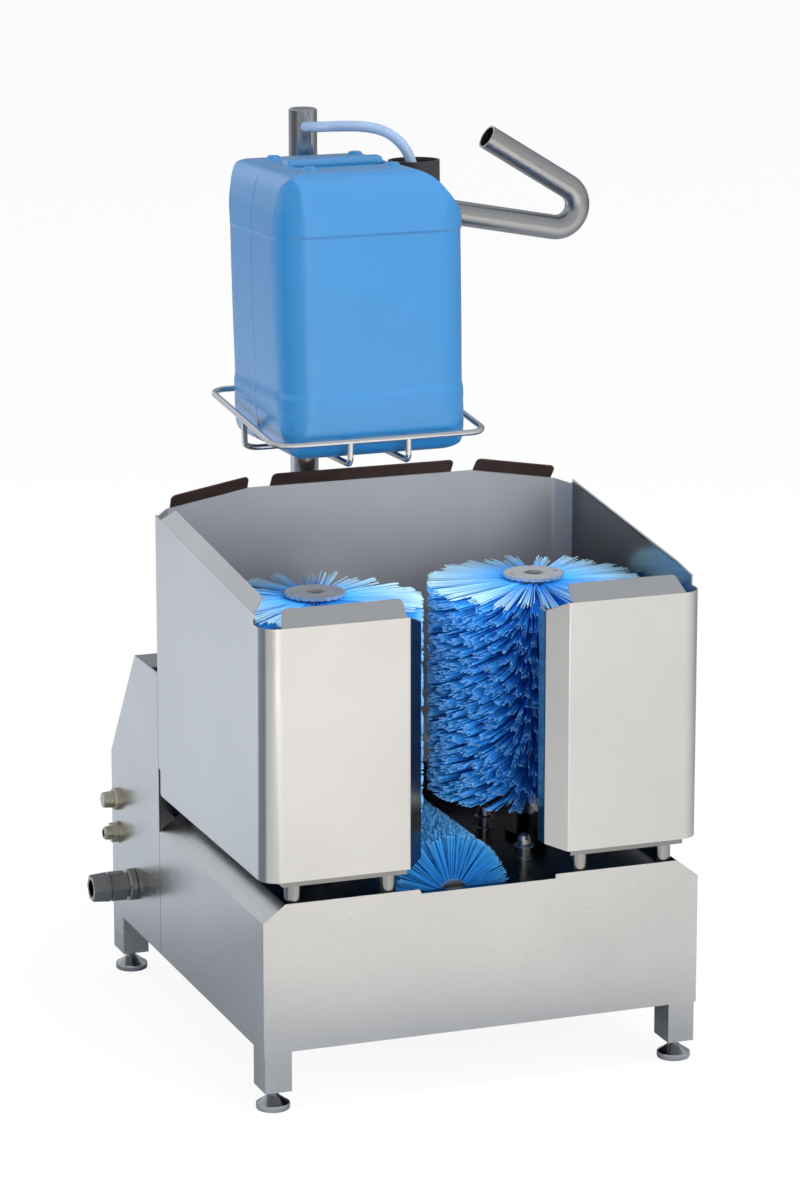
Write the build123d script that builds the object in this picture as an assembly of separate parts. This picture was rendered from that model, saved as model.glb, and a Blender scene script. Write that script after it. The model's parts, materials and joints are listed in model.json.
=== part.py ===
from build123d import *
import math
import os

# A free-standing boot washer: a stainless base on four feet with a sole brush in a trough,
# two upright boot brushes inside a splash guard, a rear housing with the drive, and a post that
# carries a handrail and a basket with a jerrycan of cleaner.
# Millimetres, +X right, +Y to the back, +Z up, origin on the floor below the middle of the plan.

# Base and rear housing
BASE_WIDTH = 600.0
BASE_DEPTH = 434.0
HOUSING_DEPTH = 220.0
BASE_BOTTOM = 82.0
PANEL_HEIGHT = 197.0
BEVEL_WIDTH = 30.0
BEVEL_HEIGHT = 23.0
SHEET = 2.0
DECK_DROP = 11.0
NOTCH_WIDTH = 188.0
NOTCH_DEPTH = 6.0
ENTRY_OFFSET = 5.0
BULKHEAD_SETBACK = 34.0
HOUSING_TOP = 477.0
HOUSING_TOP_LENGTH = 69.0
HOUSING_BACK_TOP = 313.0
SEAM_GAP = 0.5

# Legs and levelling feet
LEG_WIDTH = 36.0
LEG_DEPTH = 46.0
LEG_WALL = 3.0
LEG_BOTTOM = 28.0
FRONT_LEG_HEIGHT = 220.0
REAR_LEG_HEIGHT = 122.0
LEG_PLUG = 12.0
FOOT_RADIUS = 22.0
FOOT_STEM_RADIUS = 6.0
FOOT_STEM_TOP = 80.0
FOOT_HEIGHT = 18.0

# Splash guard
GUARD_LIFT = 30.0
GUARD_PROUD = 5.0
GUARD_FRONT_HEIGHT = 330.0
GUARD_SIDE_RISE = 55.0
GUARD_SLOPE_STEP = 13.0
GUARD_SLOPE_SETBACK = 35.0
GUARD_BACK_RISE = 76.0
GUARD_CORNER_RADIUS = 25.0
FOLD_RADIUS = 4.0
ENTRY_WIDTH = 217.0
RETURN_LENGTH = 34.0
LIP_LENGTH = 20.0
RETURN_SLANT = 15.0
KINK_HALF_WIDTH = 160.0
KINK_SETBACK = 28.0
CORNER_FLANGE = 21.0
CORNER_FLANGE_SLANT = 3.0
CORNER_FLANGE_BEND = 12.0
TAB_HEIGHT = 23.0
BACK_TAB_LEAN = 55.0
TAB_LEAN = 45.0
TAB_CORNER = 7.0
FRONT_TAB_HEIGHT = 28.0
FRONT_TAB_TAPER = 8.0
SIDE_TAB_TAPER = 14.0
SIDE_TAB_CORNER = 2.0
SILL_WIDTH = 32.0
SILL_THICKNESS = 6.0
STANDOFF_RADIUS = 11.0
STANDOFF_FOLD_GAP = 13.0
STANDOFF_BEVEL_GAP = 4.0
STANDOFF_DROP = 32.0
CORNER_CUT_DEPTH = 9.0
CORNER_CUT_HEIGHT = 36.0

# Brushes
BRUSH_WALL_GAP = 5.0
BRUSH_MIDDLE_GAP = 22.0
BRUSH_SETBACK = 215.0
BRUSH_CORE_RADIUS = 28.0
BRUSH_HEIGHT = 287.0
BRUSH_SPIGOT_RADIUS = 16.0
BRUSH_SPIGOT_HEIGHT = 8.0
BRUSH_ROWS = 10
BRUSH_TUFTS = 16
BRUSH_OVER_SOLE = 4.0
DISC_RADIUS = 40.0
DISC_THICKNESS = 4.0
DISC_SCALLOPS = 24
SOLE_X = -28.0
SOLE_DROP = 16.0
SOLE_CORE_RADIUS = 22.0
SOLE_FRONT_SETBACK = 38.0
SOLE_LENGTH = 374.0
SOLE_ROWS = 12
SOLE_TUFTS = 12
ROW_TWIST = 0.3
TUFT_WIDTH = 6.5
TUFT_THICKNESS = 5.0
TUFT_ROOT = 3.0
BRUSH_SHAFT_RADIUS = 12.5
SOLE_SHAFT_RADIUS = 10.0
SOLE_STUB_RADIUS = 8.0
SHAFT_FIT = 0.05

# Trough and drain
TROUGH_CLEARANCE = 8.0
TROUGH_GEARBOX_GAP = 3.0
TROUGH_FRONT_SETBACK = 24.0
TROUGH_BACK_GAP = 7.0
TROUGH_FLANGE = 12.0
BUSH_RADIUS = 13.0
BUSH_LENGTH = 10.0
SEAL_RADIUS = 13.5
SEAL_LENGTH = 8.0
DRAIN_RADIUS = 25.0
DRAIN_WALL = 2.0
DRAIN_LENGTH = 37.0
DRAIN_COLLAR_RADIUS = 28.0
DRAIN_COLLAR = 8.0

# Drive
GEARBOX_WIDTH = 64.0
GEARBOX_LENGTH = 100.0
GEARBOX_HEIGHT = 96.0
GEARBOX_NECK = 10.0
GEARBOX_NECK_RADIUS = 24.0
GEARBOX_INPUT_DROP = 61.0
LAY_SHAFT_RADIUS = 9.0
BEARING_FLANGE_RADIUS = 36.0
BEARING_FLANGE = 8.0
BEARING_HUB_RADIUS = 20.0
BEARING_HUB = 32.0
BULKHEAD_HUB_RADIUS = 22.0
BELT_PITCH = 8.0
BIG_PULLEY_TEETH = 36
MOTOR_PULLEY_TEETH = 24
TOOTH_DEPTH = 3.0
BELT_WIDTH = 14.0
BELT_THICKNESS = 3.0
BELT_CLEARANCE = 0.3
PULLEY_SIDE_GAP = 0.5
PULLEY_RIM = 1.5
PULLEY_RIM_PROUD = 4.0
PULLEY_SETBACK = 10.0
MOTOR_X = 60.0
MOTOR_HEIGHT = 140.0
MOTOR_RADIUS = 48.0
MOTOR_LENGTH = 118.0
MOTOR_FLANGE_RADIUS = 52.0
MOTOR_FLANGE = 10.0
MOTOR_SHAFT_RADIUS = 8.0
MOTOR_SHAFT_REACH = 22.0
MOTOR_FINS = 18
MOTOR_PLATE = 4.0
MOTOR_PLATE_GAP = 3.0
MOTOR_PLATE_WIDTH = 128.0
MOTOR_PLATE_FOOT = 40.0

# Water, cleaner and controls
INLET_SETBACK = 120.0
INLET_HEIGHT = 147.0
INLET_NUT_RADIUS = 22.0
INLET_NUT = 11.0
INLET_THREAD_RADIUS = 16.0
INLET_THREAD_GAP = 3.0
INLET_HEX_RADIUS = 21.0
INLET_HEX = 22.0
INLET_GROOVE = 2.0
INLET_END = 24.0
INLET_TAPER = 4.0
INLET_BORE_RADIUS = 12.0
INLET_BORE_LENGTH = 50.0
INLET_TAIL = 28.0
VALVE_SIZE = (50.0, 40.0, 44.0)
VALVE_COIL_RADIUS = 16.0
VALVE_COIL = 40.0
PIPE_RADIUS = 8.0
PIPE_WALL = 1.5
PIPE_BEND = 25.0
PIPE_GEARBOX_GAP = 13.0
PIPE_DROP = 30.0
NOZZLE_SETBACKS = (112.0, 255.0)
NOZZLE_STEM_RADIUS = 5.0
INJECTOR_RADIUS = 16.0
INJECTOR_LENGTH = 70.0
INJECTOR_PORT_RADIUS = 9.0
INJECTOR_PORT = 10.0
DOSING_RADIUS = 6.0
CONTROL_BOX_SIZE = (96.0, 84.0, 110.0)
CONTROL_BOX_BOTTOM = 180.0
CONTROL_BOX_REAR_GAP = 20.0
BUTTON_REAR_GAP = 29.0
BUTTON_HEIGHT = 250.0
BUTTON_RADIUS = 11.8
BUTTON_PROUD = 15.0
BUTTON_TRAVEL = 4.0
BUTTON_STEM_RADIUS = 6.0
BEZEL_RADIUS = 15.5
BEZEL_HEIGHT = 8.0
BEZEL_CLEARANCE = 0.2
BARREL_RADIUS = 11.0
BARREL_LENGTH = 16.0
SWITCH_SIZE = 30.0
SWITCH_DEPTH = 34.0
GLAND_HEIGHT = 202.0
GLAND_RING_RADIUS = 15.5
GLAND_RING = 3.0
GLAND_HEX_RADIUS = 14.0
GLAND_HEX = 9.0
GLAND_NUT_RADIUS = 9.5
GLAND_NUT = 10.0
GLAND_BORE_RADIUS = 5.5
GLAND_TAIL_RADIUS = 10.0
GLAND_TAIL = 14.0

# Post, handrail, basket and jerrycan
POST_X = -66.0
POST_SETBACK = 68.0
POST_RADIUS = 19.0
POST_WALL = 2.5
POST_OVER_CAN = 49.0
POST_CAP_HEIGHT = 4.0
POST_FLANGE = 60.0
POST_FLANGE_THICKNESS = 8.0
RAIL_RADIUS = 16.85
RAIL_WALL = 2.6
RAIL_BEND = 30.0
RAIL_START_DROP = 107.0
RAIL_ELBOW_X = 455.5
RAIL_ELBOW_DROP = 207.5
RAIL_END_X = 197.5
RAIL_END_DROP = 48.0
HOLDER_SHIFT = 4.0
WIRE_RADIUS = 4.0
CAN_WIDTH = 263.0
CAN_DEPTH = 250.0
CAN_HEIGHT = 372.0
CAN_BOTTOM = 792.0
CAN_LEAN = 1.9
CAN_POST_GAP = 4.0
CAN_CORNER = 48.0
CAN_FOOT_HEIGHT = 66.0
CAN_FOOT_TAPER = 7.0
CAN_FOOT_EDGE = 36.0
CAN_TOP_TAPER = 6.0
CAN_TOP_EDGE = 26.0
CAN_SHOULDER_WIDTH = 58.0
CAN_SHOULDER_HEIGHT = 66.0
CAN_SHOULDER_EDGE = 60.0
CAN_BAND_LOW = 80.5
CAN_BAND_HIGH = 291.0
CAN_BAND_DEPTH = 2.0
CAN_BAND_RAMP = 9.0
CAN_HANDLE_MIDDLE = -16.0
CAN_HANDLE_LENGTH = 128.0
CAN_HANDLE_WIDTH = 26.0
CAN_HANDLE_THICKNESS = 22.0
CAN_HANDLE_EDGE = 5.0
CAN_HANDLE_PROUD = 7.0
CAN_HANDLE_ROOT = 2.0
CAN_POCKET_WIDTH = 84.0
CAN_POCKET_DEPTH = 34.0
CAN_POCKET_CORNER = 20.0
CAN_NUB_X = 58.0
CAN_NUB_Y = 72.0
CAN_NUB_RADIUS = 9.0
CAN_NUB_HEIGHT = 5.0
NECK_X = 98.0
NECK_SHELF_DEPTH = 72.0
NECK_SHELF_LEFT = 60.0
NECK_SHELF_WIDTH = 104.0
NECK_SHELF_CORNER = 24.0
NECK_RADIUS = 28.0
NECK_HEIGHT = 38.0
CAP_RADIUS = 34.0
CAP_WALL = 4.0
CAP_SKIRT = 26.0
CAP_CUP = 26.0
CAP_DISC = 6.0
CAP_FIT = 0.05
BASKET_FRONT_GAP = 4.0
BASKET_SIDE_GAP = 10.0
BASKET_RAIL_CORNER = 24.0
BASKET_RAIL_LIFT = 31.0
BASKET_RAIL_TILT = 5.3
BASKET_JOIN_GAP = 2.0
BASKET_WIRE_SPACING = 80.0
BASKET_WIRE_BEND = 10.0
BASKET_WIRE_SINK = 0.5
BASKET_CROSS_SETBACK = 80.0
BASKET_CROSS_REACH = 85.0
BASKET_CROSS_INSET = 30.0
BASKET_CROSS_BEND = 28.0
CLAMP_RADIUS = 24.0
CLAMP_HEIGHT = 26.0
CLAMP_PLATE_WIDTH = 110.0
CLAMP_PLATE_FRONT = 30.0
HOSE_RADIUS = 7.0
HOSE_FIT = 0.1
HOSE_EXIT_X = -3.5
HOSE_DIP = 20.4
SCREW_RADIUS = 5.0
SCREW_HEAD = 3.0

# Places that follow from the sizes above
FRONT = -(BASE_DEPTH + HOUSING_DEPTH) / 2
SEAM = FRONT + BASE_DEPTH
REAR = SEAM + HOUSING_DEPTH
HALF = BASE_WIDTH / 2
RIM = BASE_BOTTOM + PANEL_HEIGHT
BEVEL_BOTTOM = RIM - BEVEL_HEIGHT
DECK_TOP = RIM - DECK_DROP
DECK_UNDER = DECK_TOP - SHEET
DECK_HALF = HALF - BEVEL_WIDTH
BULKHEAD = SEAM + BULKHEAD_SETBACK
BULKHEAD_BACK = BULKHEAD + SHEET
FLOOR_TOP = BASE_BOTTOM + 2 * SHEET
GUARD_BOTTOM = RIM + GUARD_LIFT
GUARD_FRONT_TOP = GUARD_BOTTOM + GUARD_FRONT_HEIGHT
GUARD_SIDE_TOP = GUARD_FRONT_TOP + GUARD_SIDE_RISE
GUARD_BACK_TOP = GUARD_FRONT_TOP + GUARD_BACK_RISE
GUARD_FRONT = FRONT - GUARD_PROUD
BRUSH_RADIUS = (HALF - BRUSH_WALL_GAP - BRUSH_MIDDLE_GAP / 2) / 2
BRUSH_X = HALF - BRUSH_WALL_GAP - BRUSH_RADIUS
GEARBOX_INNER_X = BRUSH_X - GEARBOX_WIDTH / 2
PIPE_X = GEARBOX_INNER_X - PIPE_GEARBOX_GAP - PIPE_RADIUS
TROUGH_RADIUS = GEARBOX_INNER_X - abs(SOLE_X) - TROUGH_GEARBOX_GAP - SHEET
SOLE_RADIUS = TROUGH_RADIUS - TROUGH_CLEARANCE
BRUSH_Y = FRONT + BRUSH_SETBACK
SOLE_Z = DECK_TOP - SOLE_DROP
BRUSH_BOTTOM = SOLE_Z + SOLE_RADIUS + BRUSH_OVER_SOLE
BRUSH_TOP = BRUSH_BOTTOM + BRUSH_HEIGHT
SOLE_FRONT = FRONT + SOLE_FRONT_SETBACK
SOLE_BACK = SOLE_FRONT + SOLE_LENGTH
TROUGH_FRONT = FRONT + TROUGH_FRONT_SETBACK
TROUGH_BACK = SEAM - TROUGH_BACK_GAP
GEARBOX_TOP = DECK_UNDER - GEARBOX_NECK
GEARBOX_BOTTOM = GEARBOX_TOP - GEARBOX_HEIGHT
INPUT_Z = DECK_UNDER - GEARBOX_INPUT_DROP
PULLEY_FRONT = BULKHEAD_BACK + PULLEY_SETBACK
PULLEY_WIDTH = BELT_WIDTH + 2 * (PULLEY_SIDE_GAP + PULLEY_RIM)
PULLEY_BACK = PULLEY_FRONT + PULLEY_WIDTH
BIG_PULLEY_RADIUS = BIG_PULLEY_TEETH * BELT_PITCH / (2 * math.pi)
MOTOR_PULLEY_RADIUS = MOTOR_PULLEY_TEETH * BELT_PITCH / (2 * math.pi)
MOTOR_FACE = PULLEY_BACK + MOTOR_PLATE_GAP + MOTOR_PLATE
INLET_Y = SEAM + INLET_SETBACK
PIPE_Z = DECK_TOP - PIPE_DROP
BUTTON_Y = REAR - BUTTON_REAR_GAP
POST_Y = SEAM + POST_SETBACK
CAN_LEAN_SLOPE = math.tan(math.radians(CAN_LEAN))
CAN_MIDDLE = -(POST_RADIUS + CAN_POST_GAP + CAN_HEIGHT * CAN_LEAN_SLOPE + CAN_DEPTH / 2)
POST_TOP = CAN_BOTTOM + CAN_HEIGHT + POST_OVER_CAN
CAP_DISC_BOTTOM = CAN_HEIGHT - NECK_SHELF_DEPTH + NECK_HEIGHT
HOLDER = Pos(POST_X, POST_Y, 0)
CAN_PLACE = HOLDER * Pos(HOLDER_SHIFT, CAN_MIDDLE, CAN_BOTTOM) * Rot(-CAN_LEAN, 0, 0)

# The hose's route from the post to the cap, chosen along the photograph's curve: shares of the way to
# the right and to the front, and height over the bottom of the cap's disc
HOSE_STEPS = (
    (0.0, 0.0, 63.4), (0.06, 0.23, 66.9), (0.22, 0.49, 71.4), (0.47, 0.70, 73.9),
    (0.715, 0.86, 68.4), (0.905, 0.965, 48.4),
)


def block(x0, x1, y0, y1, z0, z1):
    """Box between two corners."""
    middle = Pos((x0 + x1) / 2, (y0 + y1) / 2, (z0 + z1) / 2)
    return middle * Box(x1 - x0, y1 - y0, z1 - z0)


def rod(start, end, radius):
    """Round bar between two points."""
    line = Vector(*end) - Vector(*start)
    return extrude(Plane(origin=start, z_dir=line) * Circle(radius), amount=line.length)


def turned(profile):
    """Solid turned about Z from (radius, height) points, bottom to top."""
    outline = [(0, 0, profile[0][1])]
    outline += [(radius, 0, height) for radius, height in profile]
    outline += [(0, 0, profile[-1][1])]
    return revolve(make_face(Polyline(*outline, close=True)), Axis.Z)


def side_prism(outline, x0, x1):
    """Outline of (y, z) points extruded along X."""
    face = make_face(Polyline(*[(x0, y, z) for y, z in outline], close=True))
    return extrude(face, amount=x1 - x0, dir=(1, 0, 0))


def front_prism(outline, y0, y1):
    """Outline of (x, z) points extruded along Y."""
    face = make_face(Polyline(*[(x, y0, z) for x, z in outline], close=True))
    return extrude(face, amount=y1 - y0, dir=(0, 1, 0))


def offset_path(path, distance):
    """Path moved sideways to its left, with mitred corners."""
    normals = []
    for (x0, y0), (x1, y1) in zip(path, path[1:]):
        length = math.hypot(x1 - x0, y1 - y0)
        normals.append(((y0 - y1) / length, (x1 - x0) / length))
    moved = []
    for index, (x, y) in enumerate(path):
        before = normals[max(index - 1, 0)]
        after = normals[min(index, len(normals) - 1)]
        spread = 1 + before[0] * after[0] + before[1] * after[1]
        moved.append((
            x + distance * (before[0] + after[0]) / spread,
            y + distance * (before[1] + after[1]) / spread,
        ))
    return moved


def folded_sheet(path, radii, z0, z1):
    """Upright sheet whose outer face follows a plan path, with the metal to the path's left."""
    inner = offset_path(path, SHEET)
    outer_line = FilletPolyline(*path, radius=radii)
    inner_line = FilletPolyline(*inner, radius=[radius - SHEET for radius in radii])
    ends = [Line(path[0], inner[0]), Line(path[-1], inner[-1])]
    face = make_face(outer_line.edges() + inner_line.edges() + ends)
    return Pos(0, 0, z0) * extrude(face, amount=z1 - z0, dir=(0, 0, 1))


def tab(start, end, inward, lean=TAB_LEAN, height=TAB_HEIGHT, tapers=(0.0, 0.0), corner=TAB_CORNER):
    """Stiffening tab along a sheet's top edge, leaning inward, with tapered ends and rounded corners."""
    along = Vector(*end) - Vector(*start)
    inward = Vector(*inward).normalized()
    upward = inward.cross(along).normalized()
    if upward.Z < 0:
        upward = upward * -1
    turn = math.radians(lean)
    rise = inward * math.cos(turn) + upward * math.sin(turn)
    plane = Plane(origin=start, x_dir=along, z_dir=along.cross(rise))
    sink = 0.3 * SHEET
    corners = [
        (0, -sink), (along.length, -sink), (along.length - tapers[1], height), (tapers[0], height),
    ]
    outline = FilletPolyline(*corners, radius=[0, 0, corner, corner], close=True)
    return extrude(plane * make_face(outline), amount=SHEET / 2, both=True)


def tube(points, radii, outer, wall):
    """Bent tube along straight runs joined by tangent arcs."""
    path = FilletPolyline(*points, radius=radii)
    start = Plane(origin=path @ 0, z_dir=path % 0)
    return sweep(start * Circle(outer), path=path) - sweep(start * Circle(outer - wall), path=path)


def along_y(x, y, z):
    """Places a piece built about Z so that its axis runs to the back."""
    return Plane(origin=(x, y, z), x_dir=(1, 0, 0), z_dir=(0, 1, 0)).location


def on_left_wall(y, z):
    """Places a fitting built about Z on the housing's left wall, pointing outwards."""
    return Plane(origin=(-HALF, y, z), x_dir=(0, 1, 0), z_dir=(-1, 0, 0)).location


def base_casing():
    """Front panel, bevelled side walls and the fold down to the deck, one folded sheet."""
    wall = [(-HALF, BASE_BOTTOM), (-HALF, BEVEL_BOTTOM), (-DECK_HALF, RIM), (-DECK_HALF, DECK_UNDER)]
    inside = offset_path(wall, -SHEET)
    left = front_prism(wall + inside[::-1], FRONT, SEAM)
    notch_left = ENTRY_OFFSET - NOTCH_WIDTH / 2
    notch_right = ENTRY_OFFSET + NOTCH_WIDTH / 2
    notch_floor = RIM - NOTCH_DEPTH
    outline = [
        (-HALF, BASE_BOTTOM), (-HALF, BEVEL_BOTTOM), (-DECK_HALF, RIM), (notch_left, RIM),
        (notch_left + NOTCH_DEPTH / 2, notch_floor), (notch_right, notch_floor), (notch_right, RIM),
        (DECK_HALF, RIM), (HALF, BEVEL_BOTTOM), (HALF, BASE_BOTTOM),
    ]
    return front_prism(outline, FRONT, FRONT + SHEET) + left + mirror(left, about=Plane.YZ)


def deck_plate():
    """Deck between the bevels, open over the trough, with holes for shafts and nozzles."""
    plate = block(-DECK_HALF, DECK_HALF, FRONT + SHEET, BULKHEAD, DECK_UNDER, DECK_TOP)
    slot = block(
        SOLE_X - TROUGH_RADIUS, SOLE_X + TROUGH_RADIUS,
        TROUGH_FRONT + SHEET, TROUGH_BACK - SHEET, DECK_UNDER, DECK_TOP,
    )
    plate -= slot
    for x in (-BRUSH_X, BRUSH_X):
        plate -= rod((x, BRUSH_Y, DECK_UNDER), (x, BRUSH_Y, DECK_TOP), BEARING_HUB_RADIUS)
    for setback in NOZZLE_SETBACKS:
        at = (PIPE_X, FRONT + setback)
        plate -= rod((*at, DECK_UNDER), (*at, DECK_TOP), NOZZLE_STEM_RADIUS + SHAFT_FIT)
    return plate


def trough_form(radius, y0, y1):
    """Round-bottomed solid about the sole brush's axis, up to the deck."""
    form = rod((SOLE_X, y0, SOLE_Z), (SOLE_X, y1, SOLE_Z), radius)
    form += block(SOLE_X - radius, SOLE_X + radius, y0, y1, SOLE_Z, DECK_UNDER)
    return form & block(SOLE_X - radius, SOLE_X + radius, y0, y1, SOLE_Z - radius, DECK_UNDER)


def sole_trough():
    """Round-bottomed trough that hangs under the deck, with end plates and a drain hole."""
    shell = trough_form(TROUGH_RADIUS + SHEET, TROUGH_FRONT, TROUGH_BACK)
    flange_half = TROUGH_RADIUS + TROUGH_FLANGE
    shell += block(
        SOLE_X - flange_half, SOLE_X + flange_half,
        TROUGH_FRONT, TROUGH_BACK, DECK_UNDER - SHEET, DECK_UNDER,
    )
    shell -= trough_form(TROUGH_RADIUS, TROUGH_FRONT + SHEET, TROUGH_BACK - SHEET)
    shell -= rod((SOLE_X, TROUGH_FRONT, SOLE_Z), (SOLE_X, SOLE_FRONT, SOLE_Z), SOLE_STUB_RADIUS + SHAFT_FIT)
    shell -= rod((SOLE_X, SOLE_BACK, SOLE_Z), (SOLE_X, TROUGH_BACK, SOLE_Z), SOLE_SHAFT_RADIUS + SHAFT_FIT)
    drain = (SOLE_X, BRUSH_Y)
    return shell - rod((*drain, 0), (*drain, SOLE_Z), DRAIN_RADIUS - DRAIN_WALL)


def drain_spigot():
    """Waste spigot under the trough, with a collar cut to the trough's round bottom."""
    at = (SOLE_X, BRUSH_Y)
    collar_bottom = SOLE_Z - TROUGH_RADIUS - SHEET - DRAIN_COLLAR
    bottom = collar_bottom - DRAIN_LENGTH
    pipe = rod((*at, bottom), (*at, SOLE_Z), DRAIN_RADIUS)
    pipe += rod((*at, collar_bottom), (*at, SOLE_Z), DRAIN_COLLAR_RADIUS)
    pipe -= rod((*at, bottom), (*at, SOLE_Z), DRAIN_RADIUS - DRAIN_WALL)
    return pipe - rod((SOLE_X, FRONT, SOLE_Z), (SOLE_X, SEAM, SOLE_Z), TROUGH_RADIUS + SHEET)


def bulkhead():
    """Wall between the wet deck and the dry housing."""
    plate = block(
        -HALF + SHEET, HALF - SHEET, BULKHEAD, BULKHEAD_BACK, FLOOR_TOP - SHEET, HOUSING_TOP - SHEET,
    )
    for x, z in ((SOLE_X, SOLE_Z), (-BRUSH_X, INPUT_Z), (BRUSH_X, INPUT_Z)):
        plate -= rod((x, BULKHEAD, z), (x, BULKHEAD_BACK, z), BULKHEAD_HUB_RADIUS + SHAFT_FIT)
    hole = PIPE_RADIUS + SHAFT_FIT
    return plate - rod((PIPE_X, BULKHEAD, PIPE_Z), (PIPE_X, BULKHEAD_BACK, PIPE_Z), hole)


def housing_floor():
    """Floor pan of the rear housing, cut round the rear legs."""
    plate = block(-HALF + SHEET, HALF - SHEET, BULKHEAD_BACK, REAR - SHEET, FLOOR_TOP - SHEET, FLOOR_TOP)
    for side in (-1, 1):
        inner = side * (HALF - LEG_WIDTH)
        outer = side * HALF
        plate -= block(min(inner, outer), max(inner, outer), REAR - LEG_DEPTH, REAR, BASE_BOTTOM, FLOOR_TOP)
    return plate


def rear_housing():
    """Hood over the drive: side walls, top, sloped back and back wall."""
    slope_top = BULKHEAD + HOUSING_TOP_LENGTH
    start = SEAM + SEAM_GAP
    wall = [
        (start, BASE_BOTTOM), (start, HOUSING_TOP), (slope_top, HOUSING_TOP),
        (REAR, HOUSING_BACK_TOP), (REAR, BASE_BOTTOM),
    ]
    path = [(BULKHEAD, HOUSING_TOP), (slope_top, HOUSING_TOP), (REAR, HOUSING_BACK_TOP), (REAR, BASE_BOTTOM)]
    hood = side_prism(path + offset_path(path, -SHEET)[::-1], -HALF, HALF)
    hood += side_prism(wall, -HALF, -HALF + SHEET)
    hood += side_prism(wall, HALF - SHEET, HALF)
    leg_top = LEG_BOTTOM + REAR_LEG_HEIGHT
    for side in (-1, 1):
        inner = side * (HALF - LEG_WIDTH)
        outer = side * HALF
        hood -= block(min(inner, outer), max(inner, outer), REAR - LEG_DEPTH, REAR, BASE_BOTTOM, leg_top)
    for y, z, radius in (
        (BUTTON_Y, BUTTON_HEIGHT, BARREL_RADIUS),
        (BUTTON_Y, GLAND_HEIGHT, GLAND_TAIL_RADIUS),
        (INLET_Y, INLET_HEIGHT, INLET_THREAD_RADIUS),
    ):
        hood -= rod((-HALF, y, z), (-HALF + SHEET, y, z), radius + SHAFT_FIT)
    top_hole = (POST_X, POST_Y)
    return hood - rod((*top_hole, HOUSING_TOP - SHEET), (*top_hole, HOUSING_TOP), DOSING_RADIUS + SHAFT_FIT)


def leg(side, front):
    """Square leg with a threaded plug for its foot."""
    outer = side * (HALF - SHEET if front else HALF)
    inner = outer - side * LEG_WIDTH
    y0 = FRONT + SHEET if front else REAR - LEG_DEPTH
    y1 = y0 + LEG_DEPTH
    top = LEG_BOTTOM + (FRONT_LEG_HEIGHT if front else REAR_LEG_HEIGHT)
    x0 = min(inner, outer)
    x1 = max(inner, outer)
    post = block(x0, x1, y0, y1, LEG_BOTTOM, top)
    post -= block(
        x0 + LEG_WALL, x1 - LEG_WALL, y0 + LEG_WALL, y1 - LEG_WALL,
        LEG_BOTTOM + LEG_PLUG, top,
    )
    at = foot_place(side, front)
    return post - rod((*at, LEG_BOTTOM), (*at, top), FOOT_STEM_RADIUS + SHAFT_FIT)


def foot_place(side, front):
    """Plan position of a foot, in the middle of its leg."""
    outer = HALF - SHEET if front else HALF
    y = FRONT + SHEET + LEG_DEPTH / 2 if front else REAR - LEG_DEPTH / 2
    return (side * (outer - LEG_WIDTH / 2), y)


def foot(side, front):
    """Levelling foot: bell-shaped pad on a stem."""
    rim = 0.4 * FOOT_HEIGHT
    shoulder = FOOT_STEM_RADIUS + 3
    pad = turned([
        (FOOT_RADIUS - 2, 0), (FOOT_RADIUS, 2), (FOOT_RADIUS, rim), (FOOT_RADIUS - 2, rim + 2),
        (shoulder, FOOT_HEIGHT - 1), (shoulder - 1, FOOT_HEIGHT), (FOOT_STEM_RADIUS, FOOT_HEIGHT),
        (FOOT_STEM_RADIUS, FOOT_STEM_TOP),
    ])
    return Pos(*foot_place(side, front), 0) * pad


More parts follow.
